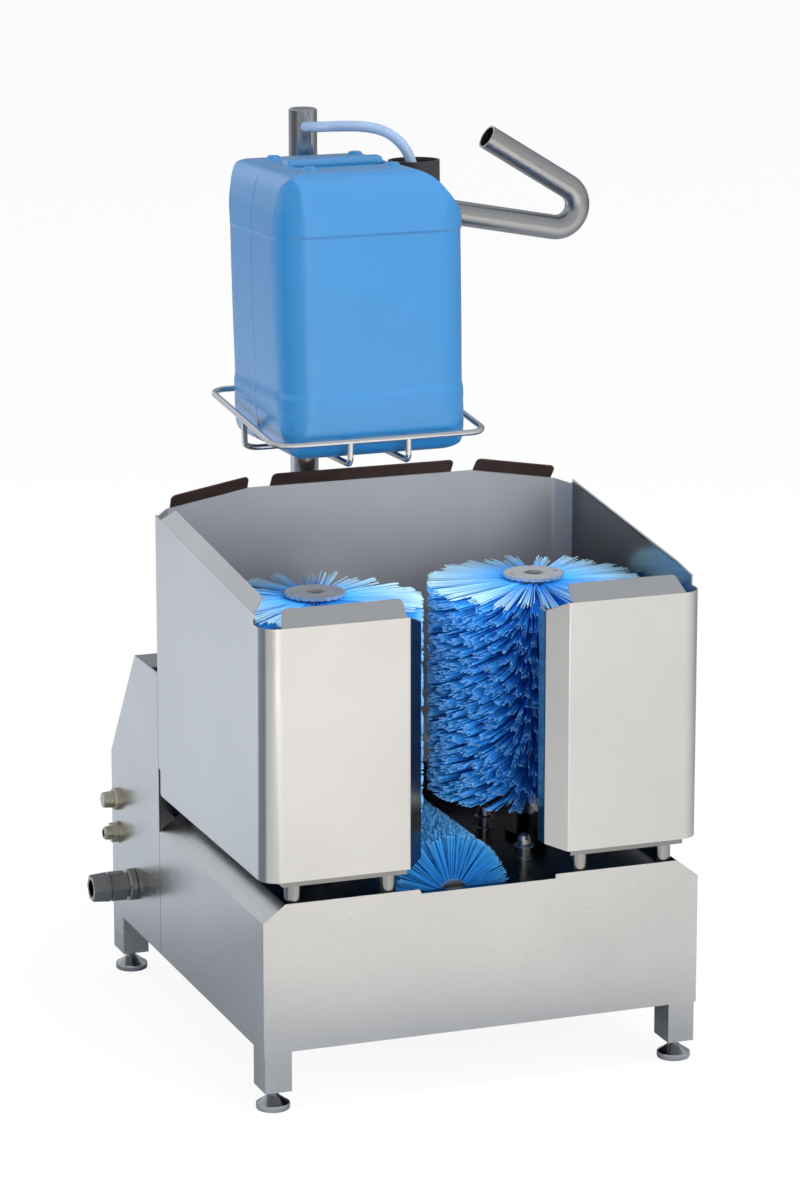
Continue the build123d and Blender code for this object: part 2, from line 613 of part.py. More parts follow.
def guard_side(side):
    """Side of the splash guard: side wall, rounded corner, front panel, angled return and lip."""
    fold = ENTRY_OFFSET + side * ENTRY_WIDTH / 2
    step = RETURN_LENGTH / math.sqrt(2)
    path = [
        (side * HALF, SEAM), (side * HALF, GUARD_FRONT), (fold, GUARD_FRONT),
        (fold - side * step, GUARD_FRONT + step), (fold - side * step, GUARD_FRONT + step + LIP_LENGTH),
    ]
    radii = [GUARD_CORNER_RADIUS, FOLD_RADIUS, FOLD_RADIUS]
    if side > 0:
        path = path[::-1]
        radii = radii[::-1]
    sheet = folded_sheet(path, radii, GUARD_BOTTOM, GUARD_SIDE_TOP)
    slope_front = GUARD_FRONT + GUARD_SLOPE_SETBACK
    slope_low = GUARD_FRONT_TOP + GUARD_SLOPE_STEP
    above = [
        (GUARD_FRONT, GUARD_FRONT_TOP), (slope_front, GUARD_FRONT_TOP), (slope_front, slope_low),
        (SEAM, GUARD_SIDE_TOP), (GUARD_FRONT, GUARD_SIDE_TOP + 1),
    ]
    sheet -= side_prism(above, -HALF, HALF)
    tip = fold - side * (step + SHEET)
    lip_back = GUARD_FRONT + step + LIP_LENGTH
    sheet -= block(
        min(fold, tip), max(fold, tip), GUARD_FRONT, lip_back + SHEET, GUARD_FRONT_TOP, GUARD_SIDE_TOP,
    )
    for height, drop in ((GUARD_FRONT_TOP, -RETURN_SLANT), (GUARD_BOTTOM, RETURN_SLANT / 2)):
        wedge = [(fold, height), (tip, height + drop), (tip, height)]
        sheet -= front_prism(wedge, GUARD_FRONT, lip_back)
    cut = (SEAM - CORNER_CUT_DEPTH, SEAM, GUARD_BOTTOM, GUARD_BOTTOM + CORNER_CUT_HEIGHT)
    sheet -= block(side * HALF - SHEET, side * HALF + SHEET, *cut)
    sill_outer = side * (HALF - GUARD_CORNER_RADIUS)
    sill_inner = fold + side * FOLD_RADIUS
    sheet += block(
        min(sill_outer, sill_inner), max(sill_outer, sill_inner),
        GUARD_FRONT + SHEET / 2, GUARD_FRONT + SILL_WIDTH,
        GUARD_BOTTOM - SILL_THICKNESS, GUARD_BOTTOM + SHEET,
    )
    mid = GUARD_FRONT + SHEET / 2
    front_ends = [(sill_outer, mid, GUARD_FRONT_TOP), (sill_inner, mid, GUARD_FRONT_TOP)]
    sheet += tab(*front_ends, (0, 1, 0), height=FRONT_TAB_HEIGHT, tapers=(FRONT_TAB_TAPER, 0.0))
    slope = (GUARD_SIDE_TOP - slope_low) / (SEAM - slope_front)
    wall = side * (HALF - SHEET / 2)
    rear_stop = SEAM - TAB_HEIGHT
    rear_height = slope_low + slope * (rear_stop - slope_front)
    return sheet + tab(
        (wall, slope_front, slope_low), (wall, rear_stop, rear_height), (-side, 0, 0),
        tapers=(SIDE_TAB_TAPER, SIDE_TAB_TAPER), corner=SIDE_TAB_CORNER,
    )


def guard_back():
    """Back wall of the splash guard: three tabbed panels with kinks between, and a flange at each end."""
    back = SEAM + KINK_SETBACK
    seat = SEAM - SHEET
    bend = HALF - CORNER_FLANGE
    path = [
        (HALF, seat), (bend, seat + CORNER_FLANGE), (KINK_HALF_WIDTH, back),
        (-KINK_HALF_WIDTH, back), (-bend, seat + CORNER_FLANGE), (-HALF, seat),
    ]
    radii = [CORNER_FLANGE_BEND, FOLD_RADIUS, FOLD_RADIUS, CORNER_FLANGE_BEND]
    sheet = folded_sheet(path, radii, GUARD_BOTTOM, GUARD_BACK_TOP)
    inside = HALF - SHEET
    bend_top = GUARD_SIDE_TOP + CORNER_FLANGE_SLANT
    sheet = sheet & block(-inside, inside, FRONT, REAR, GUARD_BOTTOM, GUARD_BACK_TOP)
    for side in (-1, 1):
        above = [
            (side * HALF, GUARD_SIDE_TOP - CORNER_FLANGE_SLANT), (side * bend, bend_top),
            (side * KINK_HALF_WIDTH, GUARD_BACK_TOP), (side * HALF, GUARD_BACK_TOP),
        ]
        sheet -= front_prism(above, SEAM - TAB_HEIGHT, back)
    middle = offset_path(path, SHEET / 2)
    relief = 1.3 * TAB_HEIGHT
    mid_y = back - SHEET / 2
    centre_half = KINK_HALF_WIDTH - relief
    centre_ends = [(-centre_half, mid_y, GUARD_BACK_TOP), (centre_half, mid_y, GUARD_BACK_TOP)]
    sheet += tab(*centre_ends, (0, -1, 0), lean=BACK_TAB_LEAN)
    for (outer, kink), side in (((middle[1], middle[2]), 1), ((middle[4], middle[3]), -1)):
        run = Vector(kink[0] - outer[0], kink[1] - outer[1], GUARD_BACK_TOP - bend_top)
        foot_point = Vector(outer[0], outer[1], bend_top)
        low = foot_point + run * 0.04
        high = foot_point + run * 0.98
        sheet += tab(tuple(low), tuple(high), (-side * abs(run.Y), -abs(run.X), 0), lean=BACK_TAB_LEAN)
    return sheet


def guard_standoffs():
    """Round posts between the deck and the guard's sills, and spacers behind the back wall."""
    sill_y = GUARD_FRONT + SILL_WIDTH - STANDOFF_RADIUS
    sill_bottom = GUARD_BOTTOM - SILL_THICKNESS
    inner = ENTRY_WIDTH / 2 + STANDOFF_FOLD_GAP + STANDOFF_RADIUS
    outer = DECK_HALF - STANDOFF_BEVEL_GAP - STANDOFF_RADIUS
    posts = []
    for x in (-outer, ENTRY_OFFSET - inner, ENTRY_OFFSET + inner, outer):
        posts.append(rod((x, sill_y, DECK_TOP), (x, sill_y, sill_bottom), STANDOFF_RADIUS))
    back = SEAM + KINK_SETBACK
    for x in (-KINK_HALF_WIDTH / 2, KINK_HALF_WIDTH / 2):
        z = HOUSING_TOP - STANDOFF_DROP
        posts.append(rod((x, back, z), (x, BULKHEAD, z), STANDOFF_RADIUS))
    return posts


def tufted_core(core, tip, bore, length, rows, tufts):
    """Brush built about Z: a core with rows of tufts that climb round it in a helix."""
    body = Cylinder(core, length, align=(Align.CENTER, Align.CENTER, Align.MIN))
    reach = tip - core + TUFT_ROOT
    pitch = length / rows
    strands = []
    for row in range(rows):
        height = pitch * (row + 0.5)
        for place in range(tufts):
            turn = 360 / tufts * (place + row * ROW_TWIST)
            strand = Pos(core - TUFT_ROOT + reach / 2, 0, height) * Box(reach, TUFT_WIDTH, TUFT_THICKNESS)
            strands.append(Rot(0, 0, turn) * strand)
    return body.fuse(*strands) - Cylinder(bore, 3 * length)


def boot_brush(side):
    """Upright brush: tufted core with a spigot on top for the end disc."""
    bore = BRUSH_SHAFT_RADIUS + SHAFT_FIT
    brush = tufted_core(BRUSH_CORE_RADIUS, BRUSH_RADIUS, bore, BRUSH_HEIGHT, BRUSH_ROWS, BRUSH_TUFTS)
    spigot_top = BRUSH_HEIGHT + BRUSH_SPIGOT_HEIGHT
    brush += rod((0, 0, BRUSH_HEIGHT), (0, 0, spigot_top), BRUSH_SPIGOT_RADIUS)
    brush -= rod((0, 0, 0), (0, 0, spigot_top), bore)
    return Pos(side * BRUSH_X, BRUSH_Y, BRUSH_BOTTOM) * brush


def boot_brush_disc(side):
    """End disc with a scalloped rim and two bolt holes."""
    disc = Cylinder(DISC_RADIUS, DISC_THICKNESS, align=(Align.CENTER, Align.CENTER, Align.MIN))
    disc -= Cylinder(BRUSH_SPIGOT_RADIUS + SHAFT_FIT, 3 * DISC_THICKNESS)
    scallop = math.pi * DISC_RADIUS / DISC_SCALLOPS / 2
    for index in range(DISC_SCALLOPS):
        turn = math.radians(360 / DISC_SCALLOPS * index)
        notch = Cylinder(scallop, 3 * DISC_THICKNESS)
        disc -= Pos(DISC_RADIUS * math.cos(turn), DISC_RADIUS * math.sin(turn), 0) * notch
    for x in (-0.77 * DISC_RADIUS, 0.77 * DISC_RADIUS):
        disc -= Pos(x, 0, 0) * Cylinder(0.09 * DISC_RADIUS, 3 * DISC_THICKNESS)
    return Pos(side * BRUSH_X, BRUSH_Y, BRUSH_TOP) * disc


def boot_brush_shaft(side):
    """Upright shaft from the gearbox through the deck bearing, with a shoulder under the brush."""
    at = (side * BRUSH_X, BRUSH_Y)
    shoulder = 0.5 * (BRUSH_CORE_RADIUS + BRUSH_SHAFT_RADIUS)
    top = BRUSH_TOP - 2 * BRUSH_SHAFT_RADIUS
    shaft = rod((*at, GEARBOX_BOTTOM + 2 * BRUSH_SHAFT_RADIUS), (*at, top), BRUSH_SHAFT_RADIUS)
    return shaft + rod((*at, BRUSH_BOTTOM - 0.5 * shoulder), (*at, BRUSH_BOTTOM), shoulder)


def deck_bearing(side):
    """Flanged bearing and seal housing on the deck."""
    at = (side * BRUSH_X, BRUSH_Y)
    unit = rod((*at, DECK_TOP), (*at, DECK_TOP + BEARING_FLANGE), BEARING_FLANGE_RADIUS)
    unit += rod((*at, DECK_UNDER), (*at, DECK_TOP + BEARING_HUB), BEARING_HUB_RADIUS - SHAFT_FIT)
    return unit - rod((*at, 0), (*at, BRUSH_TOP), BRUSH_SHAFT_RADIUS + SHAFT_FIT)


def gearbox(side):
    """Closed right-angle gearbox that hangs under the deck."""
    x = side * BRUSH_X
    body = block(
        x - GEARBOX_WIDTH / 2, x + GEARBOX_WIDTH / 2,
        BRUSH_Y - GEARBOX_LENGTH / 2, BRUSH_Y + GEARBOX_LENGTH / 2, GEARBOX_BOTTOM, GEARBOX_TOP,
    )
    body = fillet(body.edges().filter_by(Axis.Z), 0.12 * GEARBOX_WIDTH)
    body += rod((x, BRUSH_Y, GEARBOX_TOP), (x, BRUSH_Y, DECK_UNDER), GEARBOX_NECK_RADIUS)
    floor = GEARBOX_BOTTOM + 2 * BRUSH_SHAFT_RADIUS - 1
    body -= rod((x, BRUSH_Y, floor), (x, BRUSH_Y, DECK_UNDER), BRUSH_SHAFT_RADIUS + SHAFT_FIT)
    rear = BRUSH_Y + GEARBOX_LENGTH / 2
    return body - rod((x, lay_shaft_front() - 1, INPUT_Z), (x, rear, INPUT_Z), LAY_SHAFT_RADIUS + SHAFT_FIT)


def lay_shaft_front():
    """Front end of a layshaft, inside its gearbox and clear of the upright shaft."""
    return BRUSH_Y + BRUSH_SHAFT_RADIUS + LAY_SHAFT_RADIUS


def lay_shaft(side):
    """Shaft from a gearbox to its pulley."""
    x = side * BRUSH_X
    return rod((x, lay_shaft_front(), INPUT_Z), (x, PULLEY_BACK, INPUT_Z), LAY_SHAFT_RADIUS)


def sole_brush():
    """Lying brush that scrubs the soles."""
    bore = SOLE_SHAFT_RADIUS + SHAFT_FIT
    brush = tufted_core(SOLE_CORE_RADIUS, SOLE_RADIUS, bore, SOLE_LENGTH, SOLE_ROWS, SOLE_TUFTS)
    return along_y(SOLE_X, SOLE_FRONT, SOLE_Z) * brush


def sole_shaft():
    """Sole brush shaft with a stub for the front bush and a shoulder plate before the brush."""
    stub_front = TROUGH_FRONT - BUSH_LENGTH
    step = SOLE_FRONT - DISC_THICKNESS
    shaft = rod((SOLE_X, stub_front, SOLE_Z), (SOLE_X, step, SOLE_Z), SOLE_STUB_RADIUS)
    shaft += rod((SOLE_X, step, SOLE_Z), (SOLE_X, SOLE_FRONT, SOLE_Z), SOLE_CORE_RADIUS)
    return shaft + rod((SOLE_X, SOLE_FRONT, SOLE_Z), (SOLE_X, PULLEY_BACK, SOLE_Z), SOLE_SHAFT_RADIUS)


def ring_along_y(x, z, y0, y1, outer, inner):
    """Plain ring on a shaft that runs to the back."""
    return rod((x, y0, z), (x, y1, z), outer) - rod((x, y0, z), (x, y1, z), inner)


def sole_front_bush():
    """Plain bush in front of the trough."""
    front = TROUGH_FRONT - BUSH_LENGTH
    return ring_along_y(SOLE_X, SOLE_Z, front, TROUGH_FRONT, BUSH_RADIUS, SOLE_STUB_RADIUS + SHAFT_FIT)


def sole_rear_seal():
    """Shaft seal behind the trough."""
    inner = SOLE_SHAFT_RADIUS + SHAFT_FIT
    return ring_along_y(SOLE_X, SOLE_Z, TROUGH_BACK, TROUGH_BACK + SEAL_LENGTH, SEAL_RADIUS, inner)


def bulkhead_bearings():
    """Flanged bearings of the three shafts on the bulkhead."""
    units = []
    for x, z, radius in (
        (SOLE_X, SOLE_Z, SOLE_SHAFT_RADIUS),
        (-BRUSH_X, INPUT_Z, LAY_SHAFT_RADIUS),
        (BRUSH_X, INPUT_Z, LAY_SHAFT_RADIUS),
    ):
        back = BULKHEAD_BACK + BEARING_FLANGE
        unit = rod((x, BULKHEAD, z), (x, BULKHEAD_BACK, z), BULKHEAD_HUB_RADIUS)
        unit += rod((x, BULKHEAD_BACK, z), (x, back, z), BEARING_FLANGE_RADIUS)
        units.append(unit - rod((x, BULKHEAD, z), (x, back, z), radius + SHAFT_FIT))
    return units


def pulley(x, z, teeth, radius, bore):
    """Toothed belt pulley with two rims."""
    rim = radius + PULLEY_RIM_PROUD
    body = Cylinder(radius, PULLEY_WIDTH, align=(Align.CENTER, Align.CENTER, Align.MIN))
    groove_width = BELT_PITCH / 2
    for index in range(teeth):
        groove = Pos(radius, 0, PULLEY_WIDTH / 2) * Box(2 * TOOTH_DEPTH, groove_width, PULLEY_WIDTH)
        body -= Rot(0, 0, 360 / teeth * index) * groove
    for low in (0, PULLEY_WIDTH - PULLEY_RIM):
        body += rod((0, 0, low), (0, 0, low + PULLEY_RIM), rim)
    if bore > 0:
        body -= rod((0, 0, 0), (0, 0, PULLEY_WIDTH), bore + SHAFT_FIT)
    return along_y(x, PULLEY_FRONT, z) * body


def drive_belt():
    """Belt round the motor pulley, both layshaft pulleys and the sole brush pulley."""
    wheels = (
        (SOLE_X, SOLE_Z, BIG_PULLEY_RADIUS), (-BRUSH_X, INPUT_Z, BIG_PULLEY_RADIUS),
        (BRUSH_X, INPUT_Z, BIG_PULLEY_RADIUS), (MOTOR_X, MOTOR_HEIGHT, MOTOR_PULLEY_RADIUS),
    )
    loops = []
    for grow in (BELT_CLEARANCE + BELT_THICKNESS, BELT_CLEARANCE):
        circles = [(Pos(x, -z, 0) * Circle(radius + grow)).edge() for x, z, radius in wheels]
        loops.append(extrude(make_hull(circles), amount=BELT_WIDTH))
    front = PULLEY_FRONT + PULLEY_RIM + PULLEY_SIDE_GAP
    return along_y(0, front, 0) * (loops[0] - loops[1])


def motor():
    """Gear motor with a flange, cooling fins and a fan cover."""
    body = Cylinder(MOTOR_FLANGE_RADIUS, MOTOR_FLANGE, align=(Align.CENTER, Align.CENTER, Align.MIN))
    body += rod((0, 0, 0), (0, 0, MOTOR_LENGTH), MOTOR_RADIUS - TOOTH_DEPTH)
    fin_length = 0.6 * MOTOR_LENGTH
    for index in range(MOTOR_FINS):
        fin = Box(2 * TOOTH_DEPTH, TOOTH_DEPTH, fin_length)
        place = Pos(MOTOR_RADIUS - TOOTH_DEPTH, 0, MOTOR_FLANGE + fin_length / 2)
        body += Rot(0, 0, 360 / MOTOR_FINS * index) * place * fin
    body += rod((0, 0, MOTOR_FLANGE + fin_length), (0, 0, MOTOR_LENGTH), MOTOR_RADIUS)
    body -= rod((0, 0, 0), (0, 0, MOTOR_SHAFT_REACH + 1), MOTOR_SHAFT_RADIUS + SHAFT_FIT)
    return along_y(MOTOR_X, MOTOR_FACE, MOTOR_HEIGHT) * body


def motor_pulley():
    """Motor pulley in one piece with the motor's output shaft."""
    start = (MOTOR_X, PULLEY_FRONT, MOTOR_HEIGHT)
    end = (MOTOR_X, MOTOR_FACE + MOTOR_SHAFT_REACH, MOTOR_HEIGHT)
    wheel = pulley(MOTOR_X, MOTOR_HEIGHT, MOTOR_PULLEY_TEETH, MOTOR_PULLEY_RADIUS, 0)
    return wheel + rod(start, end, MOTOR_SHAFT_RADIUS)


def motor_plate():
    """Angle plate that carries the motor on the housing floor."""
    half = MOTOR_PLATE_WIDTH / 2
    front = MOTOR_FACE - MOTOR_PLATE
    top = MOTOR_HEIGHT + MOTOR_FLANGE_RADIUS
    plate = block(MOTOR_X - half, MOTOR_X + half, front, MOTOR_FACE, FLOOR_TOP, top)
    gap = MOTOR_HEIGHT - MOTOR_FLANGE_RADIUS - FLOOR_TOP
    thickness = min(MOTOR_PLATE, gap)
    plate += block(
        MOTOR_X - half, MOTOR_X + half, front, front + MOTOR_PLATE_FOOT, FLOOR_TOP, FLOOR_TOP + thickness,
    )
    hole = 2 * MOTOR_SHAFT_RADIUS
    return plate - rod((MOTOR_X, front, MOTOR_HEIGHT), (MOTOR_X, MOTOR_FACE, MOTOR_HEIGHT), hole)


def hexagon(radius, z0, z1, taper=0.0):
    """Hexagonal prism about Z."""
    return Pos(0, 0, z0) * extrude(RegularPolygon(radius, 6), amount=z1 - z0, taper=taper)


def water_inlet():
    """Water coupling on the left wall: lock nut, hexagon body and tapered hexagon mouth."""
    gap = INLET_NUT + INLET_THREAD_GAP
    hex_end = gap + INLET_HEX
    mouth = hex_end + INLET_GROOVE + INLET_END
    body = turned([
        (INLET_NUT_RADIUS - 1, 0), (INLET_NUT_RADIUS, 1), (INLET_NUT_RADIUS, INLET_NUT - 2),
        (INLET_NUT_RADIUS - 2, INLET_NUT),
    ])
    body += rod((0, 0, -INLET_TAIL), (0, 0, hex_end + INLET_GROOVE + 1), INLET_THREAD_RADIUS)
    body += hexagon(INLET_HEX_RADIUS, gap, hex_end)
    body += hexagon(INLET_HEX_RADIUS, hex_end + INLET_GROOVE, mouth, INLET_TAPER)
    body -= rod((0, 0, mouth - INLET_BORE_LENGTH), (0, 0, mouth), INLET_BORE_RADIUS)
    return on_left_wall(INLET_Y, INLET_HEIGHT) * body


def solenoid_valve():
    """Water valve behind the inlet, with its coil."""
    width, depth, height = VALVE_SIZE
    left = -HALF + INLET_TAIL
    body = block(
        left, left + width, INLET_Y - depth / 2, INLET_Y + depth / 2,
        INLET_HEIGHT - height / 2, INLET_HEIGHT + height / 2,
    )
    middle = left + width / 2
    rear = INLET_Y + depth / 2
    coil_end = rear + VALVE_COIL
    return body + rod((middle, rear, INLET_HEIGHT), (middle, coil_end, INLET_HEIGHT), VALVE_COIL_RADIUS)


def supply_pipe():
    """Pipe from the valve through the injector and the bulkhead to the nozzles under the deck."""
    x = -HALF + INLET_TAIL + VALVE_SIZE[0] / 2
    front_end = FRONT + min(NOZZLE_SETBACKS) - 2 * PIPE_RADIUS
    points = [
        (x, INLET_Y, INLET_HEIGHT + VALVE_SIZE[2] / 2), (x, INLET_Y, PIPE_Z),
        (PIPE_X, INLET_Y, PIPE_Z), (PIPE_X, front_end, PIPE_Z),
    ]
    return tube(points, [PIPE_BEND, PIPE_BEND], PIPE_RADIUS, PIPE_WALL)


def spray_nozzles():
    """Dome-headed water nozzles that stand on the deck, seated on the pipe below."""
    stem = NOZZLE_STEM_RADIUS
    units = []
    for setback in NOZZLE_SETBACKS:
        y = FRONT + setback
        unit = Pos(PIPE_X, y, DECK_TOP) * turned([
            (2 * stem, 0), (2 * stem, 3), (1.6 * stem, 4), (1.6 * stem, 16), (2.6 * stem, 17),
            (2.6 * stem, 19), (1.8 * stem, 21), (1.7 * stem, 27), (1.3 * stem, 32), (0.5 * stem, 34.5),
        ])
        unit += rod((PIPE_X, y, PIPE_Z), (PIPE_X, y, DECK_TOP), stem)
        units.append(unit - rod((PIPE_X, FRONT, PIPE_Z), (PIPE_X, BULKHEAD, PIPE_Z), PIPE_RADIUS))
    return units


def dosing_injector():
    """Venturi on the supply pipe that draws in the cleaner."""
    half = INJECTOR_LENGTH / 2
    start = (POST_X - half, INLET_Y, PIPE_Z)
    end = (POST_X + half, INLET_Y, PIPE_Z)
    body = rod(start, end, INJECTOR_RADIUS)
    body += rod((POST_X, INLET_Y, PIPE_Z), (POST_X, INLET_Y, injector_top()), INJECTOR_PORT_RADIUS)
    return body - rod(start, end, PIPE_RADIUS + SHAFT_FIT)


def injector_top():
    """Height of the injector's suction port."""
    return PIPE_Z + INJECTOR_RADIUS + INJECTOR_PORT


def dosing_tube():
    """Cleaner tube from inside the post down to the injector."""
    top = HOUSING_TOP + INJECTOR_PORT
    drop = HOUSING_TOP - injector_top()
    points = [
        (POST_X, POST_Y, top), (POST_X, POST_Y, HOUSING_TOP - 0.3 * drop),
        (POST_X, INLET_Y, HOUSING_TOP - 0.7 * drop), (POST_X, INLET_Y, injector_top()),
    ]
    return tube(points, [PIPE_BEND, PIPE_BEND], DOSING_RADIUS, PIPE_WALL)


def control_box():
    """Box with the motor contactor, on the housing's right wall."""
    width, depth, height = CONTROL_BOX_SIZE
    right = HALF - SHEET
    rear = REAR - SHEET - CONTROL_BOX_REAR_GAP
    box = block(right - width, right, rear - depth, rear, CONTROL_BOX_BOTTOM, CONTROL_BOX_BOTTOM + height)
    return fillet(box.edges().filter_by(Axis.X), 0.06 * height)


def button_bezel():
    """Bezel ring and barrel of the start button."""
    body = turned([
        (BEZEL_RADIUS, 0), (BEZEL_RADIUS, BEZEL_HEIGHT - 3), (BEZEL_RADIUS - 1.5, BEZEL_HEIGHT),
    ])
    body += rod((0, 0, -BARREL_LENGTH), (0, 0, 0), BARREL_RADIUS)
    seat = BEZEL_HEIGHT - BUTTON_TRAVEL - 2.5
    body -= rod((0, 0, seat), (0, 0, BEZEL_HEIGHT), BUTTON_RADIUS + BEZEL_CLEARANCE)
    body -= rod((0, 0, -BARREL_LENGTH), (0, 0, BEZEL_HEIGHT), BUTTON_STEM_RADIUS + SHAFT_FIT)
    return on_left_wall(BUTTON_Y, BUTTON_HEIGHT) * body


def push_button():
    """Start button: a cap with a slightly domed end on a stem."""
    low = BEZEL_HEIGHT - 2
    top = BEZEL_HEIGHT + BUTTON_PROUD
    body = rod((0, 0, -BARREL_LENGTH + BUTTON_TRAVEL + 2), (0, 0, low), BUTTON_STEM_RADIUS)
    cap = turned([
        (BUTTON_RADIUS, low), (BUTTON_RADIUS, BEZEL_HEIGHT + 1), (BUTTON_RADIUS - 1, top - 1.5),
        (BUTTON_RADIUS - 2.5, top),
    ])
    return on_left_wall(BUTTON_Y, BUTTON_HEIGHT) * (body + cap)


def switch_block():
    """Contact block behind the start button."""
    half = SWITCH_SIZE / 2
    left = -HALF + BARREL_LENGTH
    return block(
        left, left + SWITCH_DEPTH, BUTTON_Y - half, BUTTON_Y + half - 3,
        BUTTON_HEIGHT - half, BUTTON_HEIGHT + half,
    )


def cable_gland():
    """Gland for the mains lead: washer, hexagon and clamping nut."""
    hex_top = GLAND_RING + GLAND_HEX
    nut_top = hex_top + GLAND_NUT
    body = rod((0, 0, 0), (0, 0, GLAND_RING), GLAND_RING_RADIUS)
    body += hexagon(GLAND_HEX_RADIUS, GLAND_RING, hex_top)
    body += turned([
        (GLAND_NUT_RADIUS, hex_top), (GLAND_NUT_RADIUS, nut_top - 3), (GLAND_NUT_RADIUS - 2.5, nut_top),
    ])
    body += rod((0, 0, -GLAND_TAIL), (0, 0, 0), GLAND_TAIL_RADIUS)
    body -= rod((0, 0, -GLAND_TAIL), (0, 0, nut_top), GLAND_BORE_RADIUS)
    return on_left_wall(BUTTON_Y, GLAND_HEIGHT) * body


def hose_route():
    """Points of the hose, from inside the post's wall to the neck of the jerrycan."""
    exit_radius = POST_RADIUS - POST_WALL / 2
    start = Vector(POST_X + HOSE_EXIT_X, POST_Y - math.sqrt(exit_radius**2 - HOSE_EXIT_X**2), 0)
    neck = (CAN_PLACE * Pos(NECK_X, 0, CAP_DISC_BOTTOM)).position
    dip = (CAN_PLACE * Pos(NECK_X, 0, CAP_DISC_BOTTOM + HOSE_DIP)).position
    points = []
    for right, forward, height in HOSE_STEPS:
        points.append((
            start.X + right * (neck.X - start.X), start.Y + forward * (neck.Y - start.Y), neck.Z + height,
        ))
    return points + [tuple(dip), tuple(neck)]


def post():
    """Hollow post that also leads the cleaner hose down into the housing."""
    at = (POST_X, POST_Y)
    body = rod((*at, HOUSING_TOP), (*at, POST_TOP), POST_RADIUS)
    body -= rod((*at, HOUSING_TOP), (*at, POST_TOP), POST_RADIUS - POST_WALL)
    start, towards = [Vector(*point) for point in hose_route()[:2]]
    run = (towards - start).normalized()
    inside = tuple(start - run * POST_WALL)
    outside = tuple(start + run * POST_RADIUS)
    return body - rod(inside, outside, HOSE_RADIUS + HOSE_FIT)


def post_cap():
    """Domed plug on the post."""
    dome = turned([
        (POST_RADIUS, 0), (POST_RADIUS, 0.3 * POST_CAP_HEIGHT), (0.85 * POST_RADIUS, 0.75 * POST_CAP_HEIGHT),
        (0.45 * POST_RADIUS, POST_CAP_HEIGHT),
    ])
    return Pos(POST_X, POST_Y, POST_TOP) * dome


def post_flange():
    """Square foot plate of the post on the housing's top."""
    half = POST_FLANGE / 2
    top = HOUSING_TOP + POST_FLANGE_THICKNESS
    plate = block(POST_X - half, POST_X + half, POST_Y - half, POST_Y + half, HOUSING_TOP, top)
    return plate - rod((POST_X, POST_Y, HOUSING_TOP), (POST_X, POST_Y, top), POST_RADIUS + SHAFT_FIT)


def screw_head(radius):
    """Round screw head about Z."""
    return turned([(radius, 0), (radius, 0.4 * SCREW_HEAD), (0.6 * radius, SCREW_HEAD)])


def post_screws():
    """Four screws in the corners of the post's foot plate."""
    reach = POST_FLANGE / 2 - SCREW_RADIUS - 1
    top = HOUSING_TOP + POST_FLANGE_THICKNESS
    heads = []
    for x in (-reach, reach):
        for y in (-reach, reach):
            heads.append(Pos(POST_X + x, POST_Y + y, top) * screw_head(SCREW_RADIUS))
    return heads


def housing_screws():
    """Screws that hold the hood to the floor pan, along the bottom of the back wall."""
    heads = []
    reach = HALF - LEG_WIDTH - 4 * SCREW_RADIUS
    for x in (-reach, -reach / 3, reach / 3, reach):
        heads.append(along_y(x, REAR, BASE_BOTTOM + 3 * SCREW_RADIUS) * screw_head(SCREW_RADIUS))
    return heads


def handrail():
    """Bent tube from the post to the right and back over itself, with an open end."""
    points = [
        (POST_X, POST_Y, POST_TOP - RAIL_START_DROP), (RAIL_ELBOW_X, POST_Y, POST_TOP - RAIL_ELBOW_DROP),
        (RAIL_END_X, POST_Y, POST_TOP - RAIL_END_DROP),
    ]
    body = tube(points, [RAIL_BEND], RAIL_RADIUS, RAIL_WALL)
    return body - rod((POST_X, POST_Y, HOUSING_TOP), (POST_X, POST_Y, POST_TOP), POST_RADIUS + SHAFT_FIT)


def wire(points, bend):
    """Round wire along straight runs with equal bends."""
    path = FilletPolyline(*points, radius=bend)
    start = Plane(origin=path @ 0, z_dir=path % 0)
    return sweep(start * Circle(WIRE_RADIUS), path=path)


def wire_floor(y):
    """Height of the basket's floor wires, just under the leaning jerrycan, at a place behind the post."""
    return CAN_BOTTOM - (y - CAN_MIDDLE) * CAN_LEAN_SLOPE - WIRE_RADIUS / math.cos(math.radians(CAN_LEAN))


def floor_wire_end():
    """Place where the floor wires meet the clamp's plate."""
    return -(CLAMP_PLATE_FRONT + WIRE_RADIUS * CAN_LEAN_SLOPE)


